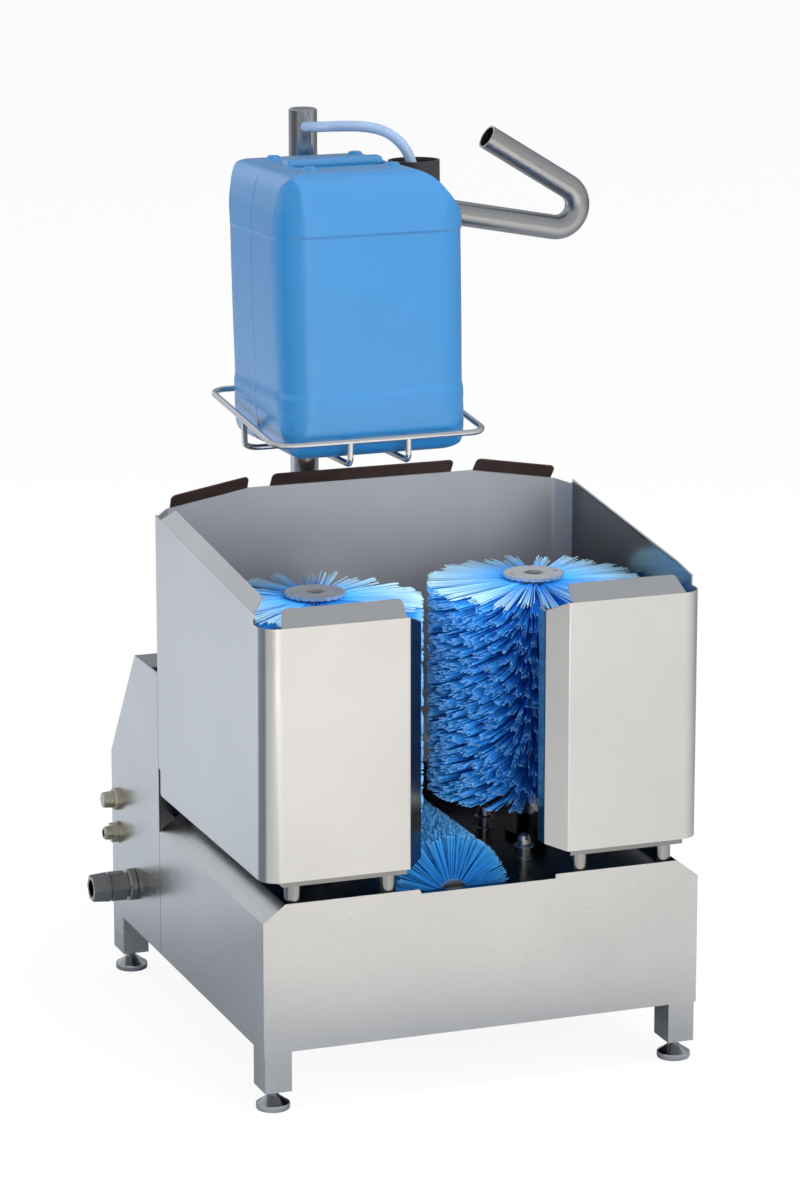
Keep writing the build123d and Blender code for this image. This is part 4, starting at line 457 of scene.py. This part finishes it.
def add_floor():
    """Pale floor out to the horizon, on which reflections see painted light and shade, darkest in a painted
    shadow near the object.
    """
    data = bpy.data.meshes.new("floor")
    half = FLOOR_HALF
    corners = [(-half, -half, 0), (half, -half, 0), (half, half, 0), (-half, half, 0)]
    data.from_pydata(corners, [], [(0, 1, 2, 3)])
    floor = link(bpy.data.objects.new("floor", data))
    material = bpy.data.materials.new("floor")
    material.use_nodes = True
    tree = material.node_tree
    tree.nodes.remove(tree.nodes["Principled BSDF"])
    place = add_node(tree, "TexCoord").outputs["Object"]
    reach = add_node(tree, "VectorMath", {0: place}, operation="LENGTH").outputs["Value"]
    away = add_range(tree, reach, FLOOR_NEAR_START, FLOOR_NEAR_END)
    # Painted light and shade round the compass, and a painted shadow close by, for rays that are not the
    # camera's
    painted_shading = add_mix(tree, away, opaque(FLOOR_PAINTED_SHADOW), add_turn(tree, place, FLOOR_PAINTED_LIGHT_AND_SHADE))
    seen = add_node(tree, "LightPath").outputs["Is Camera Ray"]
    plain = add_node(tree, "BsdfDiffuse", {"Color": add_mix(tree, seen, painted_shading, opaque(FLOOR_PLAIN))})
    glow = add_node(tree, "Emission")
    share = add_math(tree, "MULTIPLY", seen, FLOOR_GLOW)
    mix = add_node(tree, "MixShader", {"Fac": share, 1: plain.outputs[0], 2: glow.outputs[0]})
    tree.links.new(mix.outputs[0], tree.nodes["Material Output"].inputs["Surface"])
    data.materials.append(material)


def new_material(name, values):
    """Material with its node tree and shader, whose sockets get the values."""
    made = bpy.data.materials.new(name)
    made.use_nodes = True
    shader = made.node_tree.nodes["Principled BSDF"]
    for key, value in values.items():
        shader.inputs[key].default_value = value
    return made, made.node_tree, shader


def add_noise(tree, scale, detail):
    """Noise over the object's own coordinates, with a scale for each axis."""
    place = add_node(tree, "TexCoord").outputs["Object"]
    stretch = add_node(tree, "Mapping", {"Vector": place, "Scale": scale}).outputs["Vector"]
    return add_node(tree, "TexNoise", {"Vector": stretch, "Scale": 1.0, "Detail": detail}).outputs["Fac"]


def clouded(tree, colour, tones, scale, detail=CLOUD_DETAIL):
    """Colour that drifts between two of its tones."""
    dark, light = [[min(1.0, part * tone) for part in colour] for tone in tones]
    return add_ramp(tree, add_noise(tree, scale, detail), ((NOISE_LOW, dark), (NOISE_HIGH, light)))


def add_roughness(tree, shader, source, low, high):
    """Roughness that follows a noise."""
    rough = add_range(tree, source, NOISE_LOW, NOISE_HIGH, low, high)
    tree.links.new(rough, shader.inputs["Roughness"])


def add_bump(tree, shader, height, strength, distance):
    """Fine relief from a height value."""
    bump = add_node(tree, "Bump", {"Strength": strength, "Distance": distance, "Height": height})
    tree.links.new(bump.outputs["Normal"], shader.inputs["Normal"])


def scale_tone(material, share):
    """Multiplies the brightness of a material's colour by a share."""
    tree = material.node_tree
    socket = tree.nodes["Principled BSDF"].inputs["Base Color"]
    plain = socket.links[0].from_socket
    scaled = add_node(tree, "HueSaturation", {"Value": share, "Color": plain})
    tree.links.new(scaled.outputs["Color"], socket)


def metal_material(name, colour, grain, low, high, relief):
    """Metal with a clouded tone and a grain in its gloss and its relief."""
    made, tree, shader = new_material(name, {"Metallic": 1.0})
    tree.links.new(clouded(tree, colour, METAL_TONES, METAL_CLOUD), shader.inputs["Base Color"])
    lines = add_noise(tree, grain, GRAIN_DETAIL)
    add_roughness(tree, shader, lines, low, high)
    add_bump(tree, shader, lines, relief, METAL_RELIEF_DEPTH)
    return made


def add_seam(material):
    """Dark line where the casing meets the housing behind it."""
    tree = material.node_tree
    near = add_math(tree, "COMPARE", split_place(tree)["Y"], SEAM_Y, SEAM_HALF)
    scale_tone(material, add_range(tree, near, 0.0, 1.0, 1.0, SEAM_SHADE))


def add_painted_inside_shade(material, inward, start, end):
    """Painted shade: darker tone on the faces that look inward and on the sill along the bottom edge."""
    tree = material.node_tree
    normal = add_node(tree, "TexCoord").outputs["Normal"]
    facing = add_node(tree, "VectorMath", {0: normal, 1: inward}, operation="DOT_PRODUCT").outputs["Value"]
    shade = add_range(tree, facing, start, end, 1.0, INSIDE_SHADE)
    below = add_math(tree, "LESS_THAN", split_place(tree)["Z"], SILL_TOP)
    sill = add_range(tree, below, 0.0, 1.0, 1.0, SILL_SHADE)
    scale_tone(material, add_math(tree, "MULTIPLY", shade, sill))


def add_tab_painted_reflection(material):
    """Painted dark reflection: brown, not metal, on the tabs above the back wall's bent top edge."""
    tree = material.node_tree
    shader = tree.nodes["Principled BSDF"]
    plain = shader.inputs["Base Color"].links[0].from_socket
    place = split_place(tree)
    aside = add_math(tree, "ABSOLUTE", place["X"])
    edge = add_range(tree, aside, TAB_KINK, TAB_END, TAB_MIDDLE_TOP, TAB_END_TOP)
    above = add_math(tree, "GREATER_THAN", place["Z"], edge)
    # Painted dark reflection on the tabs, in brown
    painted_dark = clouded(tree, TAB_PAINTED_REFLECTION, TAB_TONES, TAB_CLOUD)
    tree.links.new(add_mix(tree, above, plain, painted_dark), shader.inputs["Base Color"])
    tree.links.new(add_range(tree, above, 0.0, 1.0, BACK_METALLIC, 0.0), shader.inputs["Metallic"])


def skin_material(name, colour, roughness, relief, coat):
    """Plastic, rubber or paint: clouded tone, fine skin, and a waxy coat where it has one."""
    made, tree, shader = new_material(name, {"Coat Weight": coat, "Coat Roughness": COAT_ROUGHNESS})
    tree.links.new(clouded(tree, colour, SKIN_TONES, SKIN_CLOUD), shader.inputs["Base Color"])
    grain = add_noise(tree, SKIN_GRAIN, SKIN_DETAIL)
    add_roughness(tree, shader, grain, roughness - SKIN_GLOSS_SPREAD, roughness + SKIN_GLOSS_SPREAD)
    add_bump(tree, shader, grain, relief, SKIN_RELIEF_DEPTH)
    return made


def bristle_material(name, low, high):
    """Nylon filament: deep blue, with a painted highlight on the tip and painted light on the end row, and
    each strand a little different.
    """
    made, tree, shader = new_material(name, {"Specular IOR Level": BRISTLE_SHEEN})
    reach = add_node(tree, "Attribute", attribute_name="reach").outputs["Fac"]
    tone = add_node(tree, "Attribute", attribute_name="tone").outputs["Fac"]
    tree.links.new(add_ramp(tree, reach, BRISTLE_TONES_AND_TIP_HIGHLIGHT), shader.inputs["Base Color"])
    scale_tone(made, add_range(tree, tone, 0.0, 1.0, low, high))
    return made


def hose_material():
    """Milky see-through hose."""
    made, tree, shader = new_material("hose_plastic", HOSE_SURFACE)
    colour = clouded(tree, HOSE_COLOUR, HOSE_TONES, HOSE_CLOUD, HOSE_DETAIL)
    tree.links.new(colour, shader.inputs["Base Color"])
    return made


def make_materials():
    """Every finish by its name."""
    made = {name: metal_material(name, *values) for name, values in METALS.items()}
    made.update({name: skin_material(name, *values) for name, values in SKINS.items()})
    made["hose_plastic"] = hose_material()
    made["bristle"] = bristle_material("bristle", *UPRIGHT_TONE)
    made["sole_bristle"] = bristle_material("sole_bristle", *SOLE_TONE)
    add_seam(made["base_steel"])
    for name, values in PAINTED_INSIDE_SHADE.items():
        add_painted_inside_shade(made[name], *values)
    add_tab_painted_reflection(made["back_steel"])
    return made


def paint_nodes(finishes):
    """Gives each CAD node its own finish or its slot's."""
    own = {node: name for name, nodes in FINISH_NODES.items() for node in nodes}
    for part in frame["record"]["subparts"]:
        node = part["node"]
        finish = finishes[own.get(node, part["material_slot"])]
        for slot in frame["nodes"][node].material_slots:
            slot.material = finish


def add_piece(name, data, place, body, node, finish):
    """Piece in its place, which rides on a body and shows instead of a CAD node."""
    data.transform(place)
    data.materials.append(finish)
    piece = link(bpy.data.objects.new(name, data))
    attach(piece, body)
    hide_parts(node)
    return piece


def stand_on(low, high):
    """Move to the middle of the bottom of a box."""
    return Matrix.Translation(((low[0] + high[0]) / 2, (low[1] + high[1]) / 2, low[2]))


def add_hose(finish):
    """Cleaner hose from the post to the cap."""
    data = bpy.data.curves.new("hose_line", "CURVE")
    data.dimensions = "3D"
    data.bevel_depth = HOSE_DIAMETER / 2
    data.bevel_resolution = HOSE_ROUND_STEPS
    data.resolution_u = HOSE_LENGTH_STEPS
    data.use_fill_caps = True
    spline = data.splines.new("NURBS")
    spline.points.add(len(HOSE_POINTS) - 1)
    for point, place in zip(spline.points, HOSE_POINTS):
        point.co = (*place, 1.0)
    spline.order_u = HOSE_ORDER
    spline.use_endpoint_u = True
    hose = add_piece("cleaner_hose", data, IN_PLACE, "base", "hose", finish)


def bristle_strands(
    rng, length, reach, core, rows, tufts, strands, tip_half_width, tip_half_height, droop, lean,
):
    """Ring centres of every filament of a brush about Z, with its sideways line, tone and painted light on
    the end row.
    """
    shape = (rows, tufts, strands)
    row = np.arange(rows)[:, None, None] * np.ones(shape)
    tuft = np.arange(tufts)[None, :, None] * np.ones(shape)
    turn = 2 * math.pi / tufts * (tuft + ROW_STAGGER * (row % 2) + ROW_CLIMB * row)
    across = rng.uniform(-1.0, 1.0, shape)
    along = rng.uniform(-1.0, 1.0, shape)
    tuft_lean = rng.normal(0.0, lean, (rows, tufts, 1))
    tuft_rise = rng.normal(0.0, lean / 2, (rows, tufts, 1))
    middle = length / rows * (row + 0.5)
    root_side = across * ROOT_HALF_WIDTH
    root_height = np.clip(middle + along * ROOT_HALF_HEIGHT, STRAND_RADIUS, length - STRAND_RADIUS)
    tip_side = across * tip_half_width + tuft_lean
    fall = droop * rng.uniform(DROOP_LEAST, 1.0, shape)
    tip_height = middle + along * tip_half_height + tuft_rise - fall
    tip_height = np.clip(tip_height, STRAND_RADIUS, length - STRAND_RADIUS)
    tip_reach = (reach - STRAND_RADIUS) * (1 - TIP_RAGGED * rng.random(shape) ** 2)
    tip_out = np.sqrt(tip_reach**2 - tip_side**2)
    root_out = core - ROOT_SINK
    outward = np.stack([np.cos(turn), np.sin(turn), 0 * turn], -1)
    sideways = np.stack([-np.sin(turn), np.cos(turn), 0 * turn], -1)
    centres = []
    for step in STRAND_STEPS:
        out = root_out + (tip_out - root_out) * step
        side = root_side + (tip_side - root_side) * step**SPREAD_CURVE
        height = root_height + (tip_height - root_height) * step**DROOP_CURVE
        centre = outward * out[..., None] + sideways * side[..., None]
        centre[..., 2] = height
        centres.append(centre.reshape(-1, 3))
    tone = STRAND_TONE_SHARE * rng.random(shape) + TUFT_TONE_SHARE * rng.random((rows, tufts, 1))
    end_row_light = END_ROW_PAINTED_LIGHT * (row == rows - 1)
    return np.stack(centres, 1), sideways.reshape(-1, 3), tone.reshape(-1), end_row_light.reshape(-1)


def strand_mesh(name, centres, sideways, tone, end_row_light):
    """Filaments with closed ends along their ring centres, with their reach (raised by painted light on the
    end row) and tone for the material.
    """
    count, rings = centres.shape[:2]
    up = np.array([0.0, 0.0, 1.0])
    corners = []
    for corner in range(STRAND_SIDES):
        angle = 2 * math.pi * corner / STRAND_SIDES
        offset = STRAND_RADIUS * (math.cos(angle) * up + math.sin(angle) * sideways)
        corners.append(centres + offset[:, None, :])
    points = np.stack(corners, 2).reshape(-1, 3)
    per_strand = rings * STRAND_SIDES
    first = (np.arange(count) * per_strand)[:, None]
    faces = []
    for ring in range(rings - 1):
        for corner in range(STRAND_SIDES):
            after = (corner + 1) % STRAND_SIDES
            quad = np.array([corner, after, STRAND_SIDES + after, STRAND_SIDES + corner])
            faces += (first + quad + STRAND_SIDES * ring).tolist()
    end = np.arange(STRAND_SIDES)
    faces += (first + end[::-1]).tolist()
    faces += (first + end + STRAND_SIDES * (rings - 1)).tolist()
    data = bpy.data.meshes.new(name)
    data.from_pydata(points.tolist(), [], faces)
    step = np.tile(np.repeat(np.array(STRAND_STEPS), STRAND_SIDES), count)
    end_row_light = np.repeat(end_row_light, per_strand)
    # Painted highlight: the end row is light along its whole length; the other rows reach only part of the
    # tip's highlight
    reach = end_row_light + (1 - end_row_light) * step * np.where(end_row_light > 0, 1.0, SIDE_TIP_HIGHLIGHT_SHARE)
    for key, values in (("reach", reach), ("tone", np.repeat(tone, per_strand))):
        data.attributes.new(key, "FLOAT", "POINT").data.foreach_set("value", values.astype(np.float32))
    return data


def plain_rings(profile, sides):
    """Rings of points about Z from (radius, height) points."""
    angles = [2 * math.pi * side / sides for side in range(sides)]
    rings = []
    for radius, height in profile:
        rings.append([(radius * math.cos(angle), radius * math.sin(angle), height) for angle in angles])
    return rings


def thread_rings(radius, low, high):
    """Rings of points up a stem with a screw thread."""
    rings = []
    count = round((high - low) / THREAD_STEP)
    for ring in range(count + 1):
        height = low + (high - low) * ring / count
        points = []
        for side in range(FOOT_SIDES):
            share = side / FOOT_SIDES
            climb = (height / THREAD_PITCH - share) % 1.0
            depth = THREAD_DEPTH * abs(2 * climb - 1)
            angle = 2 * math.pi * share
            points.append(((radius - depth) * math.cos(angle), (radius - depth) * math.sin(angle), height))
        rings.append(points)
    return rings


def ring_mesh(name, rings, looped):
    """Skin over rings of points: looped back to the first ring, or closed with a face at both ends."""
    sides = len(rings[0])
    count = len(rings)
    points = [point for ring in rings for point in ring]
    faces = []
    for ring in range(count if looped else count - 1):
        low = ring * sides
        high = (ring + 1) % count * sides
        for side in range(sides):
            after = (side + 1) % sides
            faces.append((low + side, low + after, high + after, high + side))
    if not looped:
        faces.append(tuple(reversed(range(sides))))
        faces.append(tuple(range((count - 1) * sides, count * sides)))
    data = bpy.data.meshes.new(name)
    data.from_pydata(points, [], faces)
    data.shade_smooth()
    data.set_sharp_from_angle(angle=math.radians(SHARP_ANGLE))
    return data


def tube_mesh(name, bore, radius, length):
    """Tube along Z with a small chamfer round each end."""
    profile = [
        (bore, 0.0), (radius - CORE_CHAMFER, 0.0), (radius, CORE_CHAMFER),
        (radius, length - CORE_CHAMFER), (radius - CORE_CHAMFER, length), (bore, length),
    ]
    return ring_mesh(name, plain_rings(profile, CORE_SIDES), looped=True)


def add_brush(rng, name, place, length, reach, bore, form, bristle, core_finish):
    """Filaments and core of a brush, made along Z and put in place."""
    bristles = strand_mesh(name + "_bristles", *bristle_strands(rng, length, reach, **form))
    add_piece(name + "_bristles", bristles, place, name, name, bristle)
    core = tube_mesh(name + "_core", bore, form["core"], length)
    add_piece(name + "_core", core, place, name, name, core_finish)


def add_brushes(finishes):
    """The two upright brushes, with a collar through each disc, and the sole brush."""
    rng = np.random.default_rng(BRISTLE_SEED)
    core_finish = finishes["painted_metal"]
    for name in ("left_brush", "right_brush"):
        low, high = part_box(name)
        disc_low, disc_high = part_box(name + "_disc")
        length = disc_low[2] - low[2]
        reach = (high[0] - low[0]) / 2
        place = stand_on(low, high)
        bristle = finishes["bristle"]
        add_brush(rng, name, place, length, reach, UPRIGHT_BORE, UPRIGHT_FORM, bristle, core_finish)
        collar = tube_mesh(name + "_collar", UPRIGHT_BORE, COLLAR_RADIUS, disc_high[2] - disc_low[2])
        collar_place = place @ Matrix.Translation((0.0, 0.0, length))
        add_piece(name + "_collar", collar, collar_place, name, name, finishes["disc_steel"])
    low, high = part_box("sole_brush")
    length = high[1] - low[1]
    reach = (high[2] - low[2]) / 2
    axis = Vector(((low[0] + high[0]) / 2, low[1], (low[2] + high[2]) / 2))
    place = Matrix.Translation(axis) @ Matrix.Rotation(-math.pi / 2, 4, "X")
    bristle = finishes["sole_bristle"]
    add_brush(rng, "sole_brush", place, length, reach, SOLE_BORE, SOLE_FORM, bristle, core_finish)


def add_feet(finish):
    """Levelling feet: bell-shaped pads on threaded stems."""
    cut = FOOT_EDGE_CUT * FOOT_EDGE
    rim = FOOT_RIM_SHARE * FOOT_HEIGHT
    shoulder = FOOT_STEM_RADIUS + FOOT_SHOULDER
    for node in FOOT_NODES:
        low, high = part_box(node)
        radius = (high[0] - low[0]) / 2
        pad = [
            (radius - FOOT_EDGE, 0.0), (radius - cut, cut), (radius, FOOT_EDGE), (radius, rim),
            (radius - cut, rim + FOOT_EDGE - cut), (radius - FOOT_EDGE, rim + FOOT_EDGE),
            (shoulder, FOOT_HEIGHT - FOOT_EDGE / 2), (shoulder - FOOT_EDGE / 2, FOOT_HEIGHT),
            (FOOT_STEM_RADIUS, FOOT_HEIGHT),
        ]
        stem = thread_rings(FOOT_STEM_RADIUS, FOOT_HEIGHT, high[2])
        data = ring_mesh(node + "_form", plain_rings(pad, FOOT_SIDES) + stem, looped=False)
        add_piece(node + "_form", data, stand_on(low, high), node, node, finish)


def rounded_copy(node, voxel, smoothing):
    """Fine closed mesh of a CAD node with softened edges."""
    data = frame["nodes"][node].data.copy()
    form = bmesh.new()
    form.from_mesh(data)
    bmesh.ops.remove_doubles(form, verts=form.verts, dist=CAN_WELD)
    form.to_mesh(data)
    form.free()
    piece = link(bpy.data.objects.new(node + "_form", data))
    remesh = piece.modifiers.new("remesh", "REMESH")
    remesh.mode = "VOXEL"
    remesh.voxel_size = voxel
    soften = piece.modifiers.new("soften", "SMOOTH")
    soften.factor = CAN_SMOOTH_SHARE
    soften.iterations = smoothing
    ready = piece.evaluated_get(bpy.context.evaluated_depsgraph_get())
    fine = bpy.data.meshes.new_from_object(ready)
    bpy.data.objects.remove(piece)
    fine.materials.clear()
    return fine


def bell(values, middle, width):
    """Bell curve with a height of 1 at its middle."""
    return np.exp(-(((values - middle) / width) ** 2))


def arch(values, half):
    """Arch from 0 at one end over 1 in the middle to 0 at the other end."""
    return np.cos(np.clip(values / half, -1, 1) * math.pi / 2)


def share_of(values, start, end):
    """Share of the way from start to end, from 0 to 1."""
    return np.clip((values - start) / (end - start), 0.0, 1.0)


def can_rise(local, facing):
    """How far each point of the jerrycan's skin rises: full walls, seam, groove and line."""
    across, along, height = local.T
    on_ends, on_front, on_top = (facing**2).T
    groove = bell(height, CAN_BAND_HIGH - CAN_GROOVE_WIDTH, CAN_GROOVE_WIDTH) * on_front
    line = bell(height, CAN_LINE_HEIGHT, 2 * CAN_GROOVE_WIDTH) * (1 - on_top)
    seam = bell(along, 0.0, CAN_SEAM_WIDTH) * on_ends * (np.abs(across) > CAN_END_SHARE * CAN_HALF_WIDTH)
    upward = np.sin(share_of(height, CAN_BAND_LOW, CAN_BAND_HIGH) * math.pi)
    fullness = upward * (arch(across, CAN_HALF_WIDTH) * on_front + arch(along, CAN_HALF_DEPTH) * on_ends)
    grooves = CAN_GROOVE_DEPTH * (groove + CAN_LINE_SHARE * line)
    return CAN_BULGE * fullness + CAN_SEAM_PROUD * seam - grooves


def can_draw_in(local):
    """How far each point of the jerrycan's left side draws in: over the band, at the neck and downwards."""
    across, _, height = local.T
    fade = np.clip((height - CAN_BAND_HIGH) / CAN_STEP_REACH, 0.0, 1.0)
    gate = 1 / (1 + np.exp(-(height - CAN_BAND_HIGH) / CAN_STEP_SOFT))
    step = CAN_STEP * (1 - fade * fade * (3 - 2 * fade)) * gate
    neck = CAN_NECK_IN * share_of(height, CAN_NECK_START, CAN_NECK_TOP) ** CAN_NECK_CURVE
    taper = CAN_TAPER * np.clip(1 - height / CAN_BAND_HIGH, 0.0, 1.0)
    leftward = np.clip(-across / CAN_HALF_WIDTH, 0.0, 1.0) ** 2
    return (step + neck + taper) * leftward


def add_canister(finish):
    """Jerrycan with soft edges and the fine forms of its skin."""
    fine = rounded_copy("canister", CAN_VOXEL, CAN_SMOOTHING)
    count = len(fine.vertices)
    points = np.empty(count * 3)
    normals = np.empty(count * 3)
    fine.vertices.foreach_get("co", points)
    fine.vertex_normals.foreach_get("vector", normals)
    points = points.reshape(-1, 3)
    normals = normals.reshape(-1, 3)
    turn = np.array(Euler((-math.radians(CAN_LEAN), 0, 0)).to_matrix())
    local = (points - np.array(CAN_ORIGIN)) @ turn
    rise = can_rise(local, normals @ turn)
    moved = points + normals * rise[:, None] + can_draw_in(local)[:, None] * turn[:, 0]
    fine.vertices.foreach_set("co", moved.reshape(-1))
    fine.shade_smooth()
    add_piece("jerrycan", fine, IN_PLACE, "base", "canister", finish)


bpy.context.scene.view_settings.view_transform = "Standard"
add_camera()
add_world()
for lamp_name, lamp_values in LAMPS.items():
    add_lamp(lamp_name, *lamp_values)
add_floor()
all_finishes = make_materials()
paint_nodes(all_finishes)
add_hose(all_finishes["hose_plastic"])
add_brushes(all_finishes)
add_canister(all_finishes["blue_plastic"])
add_feet(all_finishes["foot_steel"])
